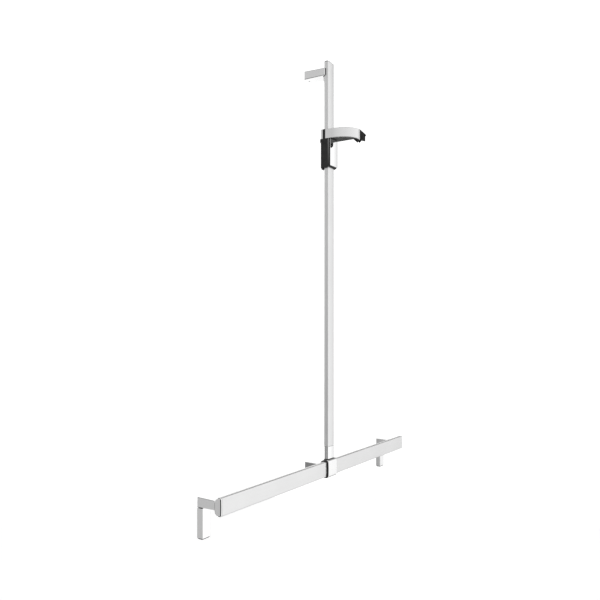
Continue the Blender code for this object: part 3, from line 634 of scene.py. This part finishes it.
def rounded(corners):
    """Closed outline through (x, y, radius) corners, each turned into a fine arc; radius 0 stays sharp."""
    outline = []
    for i, (x, y, radius) in enumerate(corners):
        here = Vector((x, y))
        if radius == 0:
            outline.append(here)
            continue
        back = (Vector(corners[i - 1][:2]) - here).normalized()
        ahead = (Vector(corners[(i + 1) % len(corners)][:2]) - here).normalized()
        half = back.angle(ahead) / 2
        centre = here + (back + ahead).normalized() * radius / math.sin(half)
        start = here + back * radius / math.tan(half) - centre
        end = here + ahead * radius / math.tan(half) - centre
        first = math.atan2(start.y, start.x)
        sweep = math.remainder(math.atan2(end.y, end.x) - first, math.tau)
        steps = 7 + int(radius / 1.5)
        for k in range(steps + 1):
            angle = first + sweep * k / steps
            outline.append(centre + radius * Vector((math.cos(angle), math.sin(angle))))
    return outline


def grown(outline, distance):
    """The anticlockwise outline with every side moved outward by distance."""
    moved = []
    for i, point in enumerate(outline):
        before = (point - outline[i - 1]).normalized()
        after = (outline[(i + 1) % len(outline)] - point).normalized()
        first = Vector((before.y, -before.x))
        second = Vector((after.y, -after.x))
        moved.append(point + (first + second) * distance / (1 + first.dot(second)))
    return moved


def crowned(half, front, crown, count=24):
    """Points of a shallow arch across a front face, between its rounded corners."""
    places = [half * (2 * (k + 1) / (count + 1) - 1) * 0.8 for k in range(count)]
    return [(x, front + crown * (x / half) ** 2, 0) for x in places]


def rail_outline():
    """The D section of the rail, in (y, z)."""
    low, high = RAIL_LOW.z, RAIL_HIGH.z
    back, front = RAIL_HIGH.y, RAIL_LOW.y
    side = front + RAIL_CROWN
    middle = (low + high) / 2
    crown = [(y, middle + z, 0) for z, y, _ in reversed(crowned(high - middle, front, RAIL_CROWN))]
    corners = [(back, low, RAIL_BACK_RADIUS), (back, high, RAIL_BACK_RADIUS)]
    return rounded([*corners, (side, high, RAIL_FRONT_RADIUS), *crown, (side, low, RAIL_FRONT_RADIUS)])


def rail_back_y(z, gap):
    """Where a surface that follows the rail's back at this gap stands at height z."""
    middle = (RAIL_LOW.z + RAIL_HIGH.z) / 2
    beyond_flat = max(0.0, abs(z - middle) - (RAIL_HIGH.z - middle - RAIL_BACK_RADIUS))
    centre_y = RAIL_HIGH.y - RAIL_BACK_RADIUS
    return centre_y + math.sqrt((RAIL_BACK_RADIUS + gap) ** 2 - beyond_flat**2)


def bar_outline(inset=0.0, belly=0.0):
    """The riser bar's section, in (x, y): crowned front, nearly straight sides, curved back.

    inset is how far the outline lies inside the bar's surface, and belly how far its sides swell.
    """
    half, front = BAR_HIGH.x - inset, BAR_LOW.y + inset
    side = front + BAR_CROWN
    side_back = BAR_HIGH.y - BAR_BACK_RISE
    rise = BAR_BACK_RISE - inset
    corner = max(BAR_FRONT_RADIUS - inset, 0.3)
    steps = 40
    angles = [math.pi * k / steps for k in range(steps + 1)]
    back = [(half * math.cos(a), side_back + rise * math.sin(a), 0) for a in angles]
    shares = [k / 8 for k in range(1, 8)] if belly else []
    swell = [(half + belly * 4 * t * (1 - t), side + (side_back - side) * t, 0) for t in shares if t > 0.2]
    left = [(-x, y, 0) for x, y, _ in reversed(swell)]
    arch = crowned(half, front, BAR_CROWN)
    return rounded([(-half, side, corner), *arch, (half, side, corner), *swell, *back, *left])


# ---------------------------------------------------------------- meshes

PLANES = {
    "XY": lambda a, b, height: Vector((a, b, height)),
    "YZ": lambda a, b, height: Vector((height, a, b)),
    "XZ": lambda a, b, height: Vector((a, height, b)),
}


def ring(plane, outline, height):
    place = PLANES[plane]
    return [place(point.x, point.y, height) for point in outline]


def prism(plane, outline, low, high):
    return [ring(plane, outline, low), ring(plane, outline, high)]


def soft_prism(plane, outline, low, high, edge, steps=5):
    """A prism whose end edges are rounded by edge, or chamfered in one step."""
    turns = [math.pi / 2 * k / steps for k in range(steps + 1)]
    rim = [(edge * (1 - math.cos(turn)), edge * (1 - math.sin(turn))) for turn in turns]
    levels = [(low + rise, inset) for rise, inset in rim]
    levels += [(high - rise, inset) for rise, inset in reversed(rim)]
    return [ring(plane, grown(outline, -inset), height) for height, inset in levels]


def rectangle(low_a, high_a, low_b, high_b, radius):
    """Outline of a rectangle whose four corners share a radius."""
    corners = ((low_a, low_b), (high_a, low_b), (high_a, high_b), (low_a, high_b))
    return rounded([(*corner, radius) for corner in corners])


def box(low, high):
    return prism("XY", rectangle(low[0], high[0], low[1], high[1], 0), low[2], high[2])


def turned(origin, axis, profile, sides=CIRCLE_SIDES):
    """Rings of a turned solid: profile holds (distance along the axis, radius) pairs."""
    axis = Vector(axis).normalized()
    across = axis.orthogonal().normalized()
    other = axis.cross(across)
    rings = []
    for distance, radius in profile:
        centre = Vector(origin) + axis * distance
        angles = [math.tau * k / sides for k in range(sides)]
        rings.append([centre + (across * math.cos(a) + other * math.sin(a)) * radius for a in angles])
    return rings


def skinned(name, rings, wrap=False):
    """An object whose closed mesh is skinned over rings of equal length."""
    mesh = bmesh.new()
    loops = [[mesh.verts.new(point * MM) for point in points] for points in rings]
    pairs = list(zip(loops, loops[1:]))
    if wrap:
        pairs.append((loops[-1], loops[0]))
    else:
        mesh.faces.new(loops[0])
        mesh.faces.new(loops[-1])
    for low, high in pairs:
        for i in range(len(low)):
            j = (i + 1) % len(low)
            mesh.faces.new((low[i], low[j], high[j], high[i]))
    bmesh.ops.recalc_face_normals(mesh, faces=mesh.faces)
    data = bpy.data.meshes.new(name)
    mesh.to_mesh(data)
    mesh.free()
    obj = bpy.data.objects.new(name, data)
    bpy.context.scene.collection.objects.link(obj)
    return obj


CUT = "DIFFERENCE"
JOIN = "UNION"


class Builder:
    """Makes finished pieces that stand for CAD nodes, with the node's body, slot and material."""

    def __init__(self, materials):
        self.materials = materials
        self.slots = {row["node"]: row["material_slot"] for row in frame["record"]["subparts"]}
        groups = frame["record"]["behaviour"]["bodies"]
        self.bodies = {node: body for body, nodes in groups.items() for node in nodes}

    def make(self, node, rings, steps=(), wrap=False, edge=0.0, sharp=34):
        """rings is the base solid, and steps are (CUT or JOIN, rings) pairs applied in order."""
        obj = skinned(f"{node}_finished", rings, wrap)
        tools = []
        for operation, tool_rings in steps:
            tool = skinned("tool", tool_rings)
            tools.append(tool)
            modifier = obj.modifiers.new("step", "BOOLEAN")
            modifier.operation = operation
            modifier.solver = "EXACT"
            modifier.object = tool
        if edge:
            bevel = obj.modifiers.new("edge", "BEVEL")
            bevel.width = edge * MM
            bevel.segments = 2
            bevel.limit_method = "ANGLE"
            bevel.angle_limit = math.radians(sharp)
            bevel.use_clamp_overlap = False
        self.settle(obj)
        for tool in tools:
            bpy.data.objects.remove(tool)
        obj.data.shade_smooth()
        obj.data.set_sharp_from_angle(angle=math.radians(sharp))
        flats = obj.modifiers.new("flats", "WEIGHTED_NORMAL")  # keeps large faces flat beside small arcs
        flats.keep_sharp = True
        self.settle(obj)
        return self.place(node, obj)

    def settle(self, obj):
        """Turns the object's modifiers into its mesh."""
        graph = bpy.context.evaluated_depsgraph_get()
        data = bpy.data.meshes.new_from_object(obj.evaluated_get(graph))
        obj.modifiers.clear()
        obj.data = data

    def place(self, node, obj):
        slot = self.slots[node]
        obj.data.materials.clear()
        obj.data.materials.append(self.materials[node_material(node, slot)])
        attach(obj, self.bodies[node])
        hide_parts(node)
        return obj


# ---------------------------------------------------------------- rail and brackets


def screw_bore(x, z, near, far):
    """The hole for a bracket's screw, between two distances from the wall."""
    return turned((x, 0, z), (0, -1, 0), [(near, SCREW_BORE_RADIUS), (far, SCREW_BORE_RADIUS)])


def make_rail(build):
    """Hollow rail with its cut ends broken."""
    outer = rail_outline()
    inner = grown(outer, -RAIL_WALL)
    end = RAIL_HIGH.x
    rings = [ring("YZ", grown(outer, -RIM), -end), ring("YZ", outer, RIM - end)]
    rings += [ring("YZ", outer, end - RIM), ring("YZ", grown(outer, -RIM), end)]
    rings += prism("YZ", inner, end, -end)
    build.make("grab_rail", rings, wrap=True)


def make_end_cap(build, node, side):
    """Cap with a plug, a shoulder and a flat chamfer whose two edges are just broken."""
    outer = rail_outline()
    plug = grown(outer, -RAIL_WALL - GAP)
    end = span(node)[1].x if side > 0 else -span(node)[0].x
    shoulder = end - CAP_LENGTH
    steps = [
        (shoulder - CAP_PLUG, grown(plug, -CAP_PLUG_RIM)),
        (shoulder - CAP_PLUG + CAP_PLUG_RIM, plug),
        (shoulder, plug),
        (shoulder, grown(outer, -RIM)),
        (shoulder + RIM, outer),
    ]
    steps += [(end - drop, grown(outer, -inset)) for drop, inset in CAP_RIM]
    build.make(node, [ring("YZ", outline, side * x) for x, outline in steps], sharp=24)


def pocket(low, high, radius=2.0):
    """A block whose four edges along Y are rounded."""
    return prism("XZ", rectangle(low[0], high[0], low[2], high[2], radius), low[1], high[1])


def arm_pocket(low, high, top_z):
    """The hollow of the arm with these corners: it opens towards the wall and ends at top_z."""
    floor = (low.x + ARM_WALL, -POCKET_DEPTH, low.z + POCKET_FLOOR)
    return pocket(floor, (high.x - ARM_WALL, 1, top_z))


def make_rail_arm(build, node, x, has_leg):
    """Arm whose end follows the rail's back, with a pocket and a screw bore."""
    low, high = span(node)
    bottom, top = low.z, high.z
    front_top = top - ARM_FALL
    steps = 28
    heights = [front_top - (front_top - bottom) * k / steps for k in range(steps + 1)]
    front = [Vector((rail_back_y(z, GAP), z)) for z in heights]
    outline = [Vector((0, bottom)), Vector((0, top)), *front]
    cuts = [(CUT, arm_pocket(low, high, POCKET_TOP_Z)), (CUT, screw_bore(x, SCREW_Z, 40, 66))]
    if has_leg:
        notch = LEG_NOTCH_HALF_WIDTH
        cuts.append((CUT, box((x - notch, -LEG_NOTCH_DEPTH, bottom - 1), (x + notch, 1, 0))))
    else:
        grub = [(8, GRUB_BORE_RADIUS), (18, GRUB_BORE_RADIUS)]
        cuts.append((CUT, turned((x, GRUB_Y, 0), (0, 0, -1), grub)))
    build.make(node, soft_prism("YZ", outline, low.x, high.x, ARM_EDGE, 1), cuts)


def make_leg_cover(build, node, x):
    """Hollow leg below an end arm, chamfered at its foot."""
    low, high = span(node)
    wall, radius = LEG_WALL, LEG_RADIUS
    outline = rounded([(low.x, low.y, radius), (high.x, low.y, radius), (high.x, 0, 0), (low.x, 0, 0)])
    levels = [(low.z, LEG_CHAMFER), (low.z + LEG_CHAMFER, 0), (high.z - RIM, 0), (high.z, RIM)]
    rings = [ring("XY", grown(outline, -inset), z) for z, inset in levels]
    inside = box((low.x + wall, low.y + wall, low.z + wall), (high.x - wall, 1, 0))
    bore = GRUB_BORE_RADIUS
    flare = [(80, bore), (-low.z - 0.5, bore), (-low.z + 1, bore + 0.5)]
    grub = turned((x, LEG_GRUB_Y, 0), (0, 0, -1), flare)
    build.make(node, rings, [(CUT, inside), (CUT, grub)])


def make_wall_plate(build, node, x, holes):
    """Plate with a rounded rim and countersunk holes."""
    low, high = span(node)
    outline = rectangle(low.x, high.x, low.z, high.z, PLATE_CORNER)
    depth = -low.y
    cuts = []
    hole = PLATE_HOLE_RADIUS
    for offset, z in holes:
        profile = [(-1, hole), (depth - COUNTERSINK_DEPTH, hole), (depth + 1, COUNTERSINK_RADIUS)]
        cuts.append((CUT, turned((x + offset, 0, z), (0, -1, 0), profile)))
    build.make(node, soft_prism("XZ", outline, -depth, 0, PLATE_EDGE), cuts)


def make_grub_screw(build, node):
    """Set screw with a hexagon socket that is seen from below."""
    low, high = span(node)
    centre = (low + high) / 2
    foot = (centre.x, centre.y, low.z)
    length = high.z - low.z
    radius = GRUB_RADIUS
    profile = [(0, radius - 0.3), (0.3, radius), (length - 0.2, radius), (length, radius - 0.2)]
    rings = turned(foot, (0, 0, 1), profile)
    hexagon = [(-1, GRUB_SOCKET_RADIUS), (GRUB_SOCKET_DEPTH, GRUB_SOCKET_RADIUS)]
    socket = turned(foot, (0, 0, 1), hexagon, 6)
    build.make(node, rings, [(CUT, socket)])


def make_bracket_screw(build, node, x, z):
    """Cap screw whose head sits on the floor of the arm's pocket."""
    low, high = span(node)
    head, tip = -high.y, -low.y
    seat = POCKET_DEPTH - GAP
    profile = [(head, HEAD_RADIUS - HEAD_EDGE), (head + HEAD_EDGE, HEAD_RADIUS), (seat, HEAD_RADIUS)]
    profile += [(seat, SCREW_RADIUS), (tip - 1, SCREW_RADIUS), (tip, SCREW_RADIUS - 0.8)]
    hexagon = [(head - 1, HEAD_SOCKET_RADIUS), (head + HEAD_SOCKET_DEPTH, HEAD_SOCKET_RADIUS)]
    socket = turned((x, 0, z), (0, -1, 0), hexagon, 6)
    build.make(node, turned((x, 0, z), (0, -1, 0), profile), [(CUT, socket)])


def make_brackets(build):
    """The rail's three brackets, and every bracket's grub screw."""
    for side in ("left", "middle", "right"):
        arm = f"{side}_bracket_arm"
        low, high = span(arm)
        x = (low.x + high.x) / 2
        make_rail_arm(build, arm, x, side != "middle")
        make_bracket_screw(build, f"bracket_screw_{side}", x, SCREW_Z)
        if side == "middle":
            make_wall_plate(build, "middle_wall_plate", x, PLATE_HOLES)
        else:
            make_leg_cover(build, f"{side}_leg_cover", x)
            make_wall_plate(build, f"{side}_wall_plate", x, END_PLATE_HOLES)
    for place in ("left", "middle", "right", "top"):
        make_grub_screw(build, f"grub_screw_{place}")


def make_top_bracket(build):
    """Wedge-shaped arm round the back of the bar, with its screw and plate."""
    low, high = span("top_bracket_arm")
    lift = low.z - ARM_BOTTOM_Z  # how far this arm stands above the rail's
    outline = [Vector(p) for p in ((0, low.z), (0, high.z), (low.y, high.z - ARM_FALL), (low.y, low.z))]
    bore_z = lift + SCREW_Z
    cuts = [
        (CUT, prism("XY", grown(bar_outline(), TOP_ARM_CLEARANCE), low.z - 5, high.z + 5)),
        (CUT, arm_pocket(low, high, lift + POCKET_TOP_Z)),
        (CUT, screw_bore(0, bore_z, 40, 64)),
        (CUT, turned((0, GRUB_Y, low.z), (0, 0, 1), [(-3, GRUB_BORE_RADIUS), (6, GRUB_BORE_RADIUS)])),
    ]
    build.make("top_bracket_arm", soft_prism("YZ", outline, low.x, high.x, ARM_EDGE, 1), cuts)
    make_bracket_screw(build, "bracket_screw_top", 0, bore_z)
    make_wall_plate(build, "top_wall_plate", 0, [(x, lift + z) for x, z in PLATE_HOLES])


# ---------------------------------------------------------------- riser and collar


def make_collar(build):
    """Collar round the rail and its liner, both with a window for the middle arm."""
    section = rail_outline()
    arm_low, arm_high = span("middle_bracket_arm")
    wide = WINDOW_HALF_WIDTH
    window = box((-wide, -64, arm_low.z - WINDOW_BELOW), (wide, -50, arm_high.z - WINDOW_ABOVE))
    half, edge = span("rail_collar")[1].x, COLLAR_EDGE
    turns = [math.pi / 2 * k / 6 for k in range(7)]
    steps = [(-half, COLLAR_INNER)]
    steps += [(-half + edge * (1 - math.cos(t)), COLLAR_OUTER - edge * (1 - math.sin(t))) for t in turns]
    steps += [(-x, size) for x, size in reversed(steps)]
    rings = [ring("YZ", grown(section, size), x) for x, size in steps]
    build.make("rail_collar", rings, [(CUT, window)], wrap=True)
    flange, outer = -half - GAP, LINER_FLANGE
    low, high = (corner.x for corner in span("collar_liner"))
    steps = [(low, GAP), (low, outer - RIM), (low + RIM, outer)]
    steps += [(flange - RIM, outer), (flange, outer - RIM)]
    steps += [(flange, LINER_OUTER), (high - 0.2, LINER_OUTER), (high, LINER_OUTER - 0.2), (high, GAP)]
    rings = [ring("YZ", grown(section, size), x) for x, size in steps]
    build.make("collar_liner", rings, [(CUT, window)], wrap=True)


def make_riser(build):
    """The riser's foot, its hollow bar and the cap plugged into the top."""
    section = bar_outline()
    inner = bar_outline(BAR_WALL)
    foot = bar_outline(-SOCKET_GROWTH, SOCKET_BELLY)
    socket_inner = bar_outline(BAR_WALL, SOCKET_BELLY)
    low, high = span("bar_socket")
    rim = RISER_RIM
    rings = [ring("XY", foot, 8), ring("XY", foot, high.z - rim), ring("XY", grown(foot, -rim), high.z)]
    rings += prism("XY", socket_inner, high.z, 8)
    collar = prism("YZ", grown(rail_outline(), COLLAR_OUTER + 2 * GAP + GASKET_DEPTH), -FAR, FAR)
    build.make("bar_socket", rings, [(CUT, collar)], wrap=True)
    bottom, top = BAR_LOW.z, BAR_HIGH.z
    rings = [ring("XY", grown(section, -rim), bottom), ring("XY", section, bottom + rim)]
    rings += [ring("XY", section, top - rim), ring("XY", grown(section, -rim), top)]
    rings += prism("XY", inner, top, bottom)
    build.make("riser_bar", rings, wrap=True)
    low, high = span("bar_top_cap")
    flange = BAR_HIGH.z + SEAM
    inset = BAR_WALL + GAP
    steps = [(low.z, inset + 0.5), (low.z + 0.5, inset), (flange, inset), (flange, 0)]
    steps += [(high.z - BAR_CAP_CHAMFER, 0), (high.z, BAR_CAP_CHAMFER)]
    build.make("bar_top_cap", [ring("XY", bar_outline(inset), z) for z, inset in steps])


# ---------------------------------------------------------------- slider


def channel(low_z, high_z):
    """The space that the bar runs in."""
    return prism("XY", grown(bar_outline(), RUNNING_GAP), low_z, high_z)


def yoke_outline():
    wide, back = YOKE_HIGH.x, YOKE_HIGH.y
    front = [(-wide, YOKE_LOW.y, 0), (wide, YOKE_LOW.y, 0)]
    return rounded([*front, (wide, back, BACK_RADIUS), (-wide, back, BACK_RADIUS)])


def sleeve_outline():
    """Outline of the sleeve: slanted flanks, and a nose that stands a step in from them."""
    wide, nose, front = SLEEVE_HIGH.x, NOSE_HALF_WIDTH, NOSE_Y + NOSE_STEP
    right = [(nose, NOSE_Y, 0.6), (nose, front, 0), (wide - FLANK_STEP, front, 0.6), (wide, FLANK_Y, 1.2)]
    right.append((wide, SLEEVE_BACK_Y, BACK_RADIUS))
    left = [(-x, y, radius) for x, y, radius in reversed(right)]
    return rounded(right + left)


def pivot_bore(half_length):
    """The hole for the paddle's pin."""
    profile = [(-half_length, PIN_BORE_RADIUS), (half_length, PIN_BORE_RADIUS)]
    return turned(PADDLE_PIVOT, (1, 0, 0), profile)


def make_sleeve(build):
    """Sleeve with a rear flange and lip, a recess for the paddle and a well for its pad; and the yoke."""
    bottom = SLEEVE_LOW.z + REAR_LIP_DROP
    top, level = SLEEVE_HIGH.z, YOKE_LOW.z
    wide = REAR_LIP_HALF_WIDTH
    lip_front = [(-wide, REAR_LIP_FRONT_Y, 1), (wide, REAR_LIP_FRONT_Y, 1)]
    lip = rounded([*lip_front, (wide, REAR_LIP_BACK_Y, 5), (-wide, REAR_LIP_BACK_Y, 5)])
    slope = CHIN_RISE / (CHIN_START_Y - NOSE_Y)
    reach = 10
    chin = [(CHIN_START_Y, bottom), (NOSE_Y - reach, bottom + CHIN_RISE + reach * slope)]
    chin += [(NOSE_Y - reach, bottom - reach), (CHIN_START_Y, bottom - reach)]
    flange = soft_prism("XY", yoke_outline(), level - FLANGE_HEIGHT, level - SEAM, LIP_EDGE)
    recess = ((-RECESS_HALF_WIDTH, -92, RECESS_BOTTOM_Z), (RECESS_HALF_WIDTH, RECESS_FLOOR_Y, DECK_Z))
    well = ((-WELL_HALF_WIDTH, -85, WELL_BOTTOM_Z), (WELL_HALF_WIDTH, BAR_LOW.y + 1, WELL_TOP_Z))
    steps = [
        (JOIN, flange),
        (JOIN, soft_prism("XY", lip, SLEEVE_LOW.z, bottom + 6, LIP_EDGE)),
        (CUT, channel(bottom - 10, top + 5)),
        (CUT, box((-FAR, -100, level - CHEEK_SEAM), (FAR, CHEEK_FRONT_Y, top + 5))),
        (CUT, box((-FAR, YOKE_LOW.y - SEAM, level - SEAM), (FAR, -50, top + 5))),
        (CUT, pocket(*recess, 1.0)),
        (CUT, prism("YZ", [Vector(point) for point in chin], -FAR, FAR)),
        (CUT, pocket(*well, 1.0)),
        (CUT, pivot_bore(PIN_BORE_HALF_LENGTH)),
    ]
    build.make("slider_body", soft_prism("XY", sleeve_outline(), bottom, top, SLEEVE_EDGE), steps)
    yoke = soft_prism("XY", yoke_outline(), YOKE_LOW.z, YOKE_HIGH.z, YOKE_EDGE)
    build.make("rear_yoke", yoke, [(CUT, channel(level - 5, top + 5))])


def make_paddle(build):
    """Crowned plate with two ears for its pin and a boss behind, and its grooved pad."""
    half = PADDLE_HIGH.x
    front, back, edge = PADDLE_LOW.y, PADDLE_BACK_Y, PADDLE_EDGE
    deep = back + 1.5  # cut off again at the back
    arch = crowned(half, front, PADDLE_CROWN)
    side = front + PADDLE_CROWN
    outline = rounded([(-half, side, edge), *arch, (half, side, edge), (half, deep, 0), (-half, deep, 0)])
    plate = soft_prism("XY", outline, PADDLE_LOW.z, PADDLE_HIGH.z, edge)
    low_z, high_z = PADDLE_PIVOT.z - EAR_HALF_HEIGHT, PADDLE_PIVOT.z + EAR_HALF_HEIGHT
    steps = [(CUT, box((-FAR, back, PADDLE_LOW.z - 1), (FAR, back + 5, PADDLE_HIGH.z + 1)))]
    for x in (-EAR_INNER_X - EAR_WIDTH, EAR_INNER_X):
        ear = pocket((x, LUG_FRONT_Y, low_z), (x + EAR_WIDTH, EAR_BACK_Y, high_z), 1.4)
        steps.append((JOIN, ear))
    boss = ((-BOSS_HALF_WIDTH, LUG_FRONT_Y, BOSS_BOTTOM_Z), (BOSS_HALF_WIDTH, BOSS_BACK_Y, BOSS_TOP_Z))
    steps.append((JOIN, pocket(*boss, 1.0)))
    steps.append((CUT, pivot_bore(25)))
    build.make("release_paddle", plate, steps)
    low, high = span("brake_pad")
    outline = rectangle(low.x, high.x, low.z, high.z, 1.2)
    floor, half = high.y - PAD_GROOVE_DEPTH, PAD_GROOVE_HALF_HEIGHT
    grooves = [(CUT, box((-9, floor, z - half), (9, high.y + 1, z + half))) for z in PAD_GROOVES_Z]
    build.make("brake_pad", soft_prism("XZ", outline, low.y, high.y, 0.3), grooves)


def make_spring(build):
    """Torsion spring of round wire, between the paddle's ears."""
    turns, steps_per_turn, coil, wire, half_length, leg = 6, 24, 1.75, 0.3, 4.0, 7.0
    pivot = PADDLE_PIVOT
    route = [Vector((-half_length, pivot.y - coil, pivot.z + leg))]
    total = turns * steps_per_turn + steps_per_turn // 2
    for k in range(total + 1):
        angle = math.pi + math.tau * k / steps_per_turn
        x = -half_length + 2 * half_length * k / total
        route.append(Vector((x, pivot.y + coil * math.cos(angle), pivot.z + coil * math.sin(angle))))
    route.append(Vector((half_length, pivot.y + coil, pivot.z - leg)))
    curve = bpy.data.curves.new("paddle_spring_finished", "CURVE")
    curve.dimensions = "3D"
    curve.bevel_depth = wire * MM
    curve.bevel_resolution = 3
    curve.use_fill_caps = True
    spline = curve.splines.new("POLY")
    spline.points.add(len(route) - 1)
    for point, place in zip(spline.points, route):
        point.co = (*(place * MM), 1)
    spring = bpy.data.objects.new("paddle_spring_finished", curve)
    bpy.context.scene.collection.objects.link(spring)
    build.place("paddle_spring", spring)


# ---------------------------------------------------------------- holder arm and cradle


def pivot_axes():
    """The cradle's pivot axis and, square to it, the level direction that the cradle leans in."""
    turn = math.radians(CRADLE_TURN)
    pivot = Vector((math.cos(turn), math.sin(turn), 0))
    return pivot, Vector((pivot.y, -pivot.x, 0))


def arc_point(radius, degrees):
    """Point of the arm's bend, counted from where it leaves the slider."""
    angle = math.radians(degrees)
    return ARC_CENTRE - radius * Vector((math.cos(angle), math.sin(angle)))


def make_arm_core(build):
    """Arm inside the band, notched for the bar and cut off square to the cradle's pivot."""
    pivot, lean = pivot_axes()
    radius = BAND_RADIUS - BAND_WALL - SEAM
    to_centre = (ARC_CENTRE - CRADLE_CENTRE.xy).dot(pivot.xy) + FACET_DISTANCE
    end_angle = CRADLE_TURN + math.degrees(math.acos(to_centre / radius))
    steps = 60
    arc = [arc_point(radius, end_angle * k / steps) for k in range(steps + 1)]
    back, right = CORE_HIGH.y, CORE_HIGH.x
    channel_x = BAR_HIGH.x + RUNNING_GAP
    channel_y = BAR_LOW.y - RUNNING_GAP
    corner = arc[-1] - lean.xy * ((right - arc[-1].x) / -lean.x)
    outline = [Vector((CORE_LOW.x, back)), *arc, corner, Vector((right, back))]
    notch = ((channel_x, back), (channel_x, channel_y), (-channel_x, channel_y), (-channel_x, back))
    outline += [Vector(place) for place in notch]
    rings = soft_prism("XY", outline, CORE_LOW.z, CORE_HIGH.z, CORE_EDGE)
    bore = [(15, CRADLE_SCREW_BORE_RADIUS), (23, CRADLE_SCREW_BORE_RADIUS)]
    build.make("arm_core", rings, [(CUT, turned(CRADLE_CENTRE, -pivot, bore))])


def band_bottom(degrees):
    """The band's lower edge, which dips towards the cradle."""
    share = max(0.0, degrees - BAND_DIP_START) / (BAND_END_ANGLE - BAND_DIP_START)
    return YOKE_LOW.z - BAND_DIP * share**2


def band_ring(degrees, straight_y=None):
    """Section of the band: flat inside, crowned outside, with chamfered edges."""
    edge, crown, steps = BAND_EDGE, 0.12, 10
    bottom, top = band_bottom(degrees), BAND_HIGH.z
    outer, inner = BAND_RADIUS, BAND_RADIUS - BAND_WALL
    middle, half = (bottom + top) / 2, (top - bottom) / 2 - edge
    shoulder = outer - edge - crown
    section = [(inner, bottom), (inner, top), (shoulder, top)]
    for k in range(steps + 1):
        share = 1 - 2 * k / steps
        section.append((outer - crown * share**2, middle + half * share))
    section.append((shoulder, bottom))
    points = []
    for radius, z in section:
        place = arc_point(radius, degrees)
        points.append(Vector((place.x, place.y if straight_y is None else straight_y, z)))
    return points


def make_band(build):
    """The chrome band that follows the arm's bend, and the strip that ends it."""
    steps = 96
    rings = [band_ring(0, BAND_HIGH.y)]
    end = TRIM_START_ANGLE - TRIM_SEAM_ANGLE
    rings += [band_ring(end * k / steps) for k in range(steps + 1)]
    build.make("arm_band", rings)
    trim = [TRIM_START_ANGLE + (BAND_END_ANGLE - TRIM_START_ANGLE) * k / 6 for k in range(7)]
    build.make("arm_end_trim", [band_ring(angle) for angle in trim])


def make_cradle(build):
    """Slotted clip with a tapered bore, two lips and a boss on its pivot, and its screw and washer."""
    pivot, lean = pivot_axes()
    tilt = math.radians(CRADLE_TILT)
    up = Vector((0, 0, 1))
    axis = lean * math.sin(tilt) + up * math.cos(tilt)
    front = lean * math.cos(tilt) - up * math.sin(tilt)

    def block(outline, low, high):
        """A prism along the pivot, over an outline of (front, axis) points."""
        flat = [CRADLE_CENTRE + front * f + axis * a for f, a in outline]
        return [[point + pivot * across for point in flat] for across in (low, high)]

    def bar(half_front, half_axis):
        """One bar of the screw's cross-shaped slot."""
        return (CUT, block(rectangle(-half_front, half_front, -half_axis, half_axis, 0), -11.6, -9))

    half, radius = CRADLE_HALF_LENGTH, CRADLE_RADIUS
    profile = [
        (-half, radius - 0.9),
        (-half + 0.3, radius - 0.4),
        (-half + 0.9, radius - 0.1),
        (half - 0.7, radius + 0.1),
        (half - 0.2, radius - 0.15),
        (half, radius - 0.6),
    ]
    lip = [(8, -5.2), (20.3, 1.2), (8, 14)]
    wide = CRADLE_BORE_TOP
    flare = [(-half - 2, CRADLE_BORE_BOTTOM), (half - 1.2, wide), (half + 2, wide + 2.4)]
    hub = [(9, HUB_RADIUS), (15, HUB_RADIUS), (15.5, HUB_RADIUS - 0.5)]
    slot = rectangle(0, FAR, -FAR, FAR, 0)
    foot = rectangle(3.3, FAR, -FAR, -half + 3.8, 0)
    bore = CRADLE_SCREW_BORE_RADIUS
    steps = [(JOIN, turned(CRADLE_CENTRE, -pivot, hub))]
    for low, high in ((SLOT_HALF_WIDTH - 1, LIP_HALF_WIDTH), (-LIP_HALF_WIDTH, -SLOT_HALF_WIDTH + 1)):
        steps.append((JOIN, block(lip, low, high)))
    steps += [
        (CUT, turned(CRADLE_CENTRE, axis, flare)),
        (CUT, block(slot, -SLOT_HALF_WIDTH, SLOT_HALF_WIDTH)),
        (CUT, block(foot, -20, 20)),
        (CUT, turned(CRADLE_CENTRE, -pivot, [(6, 4.0), (12.6, 4.0), (12.6, bore), (18, bore)])),
    ]
    build.make("hose_cradle", turned(CRADLE_CENTRE, axis, profile, 120), steps, edge=0.25)
    shank = CRADLE_SCREW_RADIUS
    profile = [(10.4, 3.2), (10.5, 3.45), (10.8, 3.6), (12.25, 3.6)]
    profile += [(12.25, shank), (22.2, shank), (22.6, shank - 0.4)]
    cross = [bar(CROSS_HALF_WIDTH, CROSS_HALF_LENGTH), bar(CROSS_HALF_LENGTH, CROSS_HALF_WIDTH)]
    build.make("cradle_screw", turned(CRADLE_CENTRE, -pivot, profile), cross)
    washer = [(15.8, 2.3), (15.8, 4.3), (15.9, 4.4), (16.9, 4.4), (17.0, 4.3), (17.0, 2.3)]
    build.make("cradle_washer", turned(CRADLE_CENTRE, -pivot, washer), wrap=True)


def make_pieces(build):
    make_rail(build)
    make_end_cap(build, "rail_end_cap_left", -1)
    make_end_cap(build, "rail_end_cap_right", 1)
    make_brackets(build)
    make_top_bracket(build)
    make_collar(build)
    make_riser(build)
    make_sleeve(build)
    make_paddle(build)
    make_spring(build)
    make_arm_core(build)
    make_band(build)
    make_cradle(build)


def main():
    scene = bpy.context.scene
    scene.view_settings.view_transform = "Standard"
    make_camera()
    make_world()
    make_floor()
    make_lights()
    materials = make_materials()
    paint_nodes(materials)
    make_pieces(Builder(materials))


main()
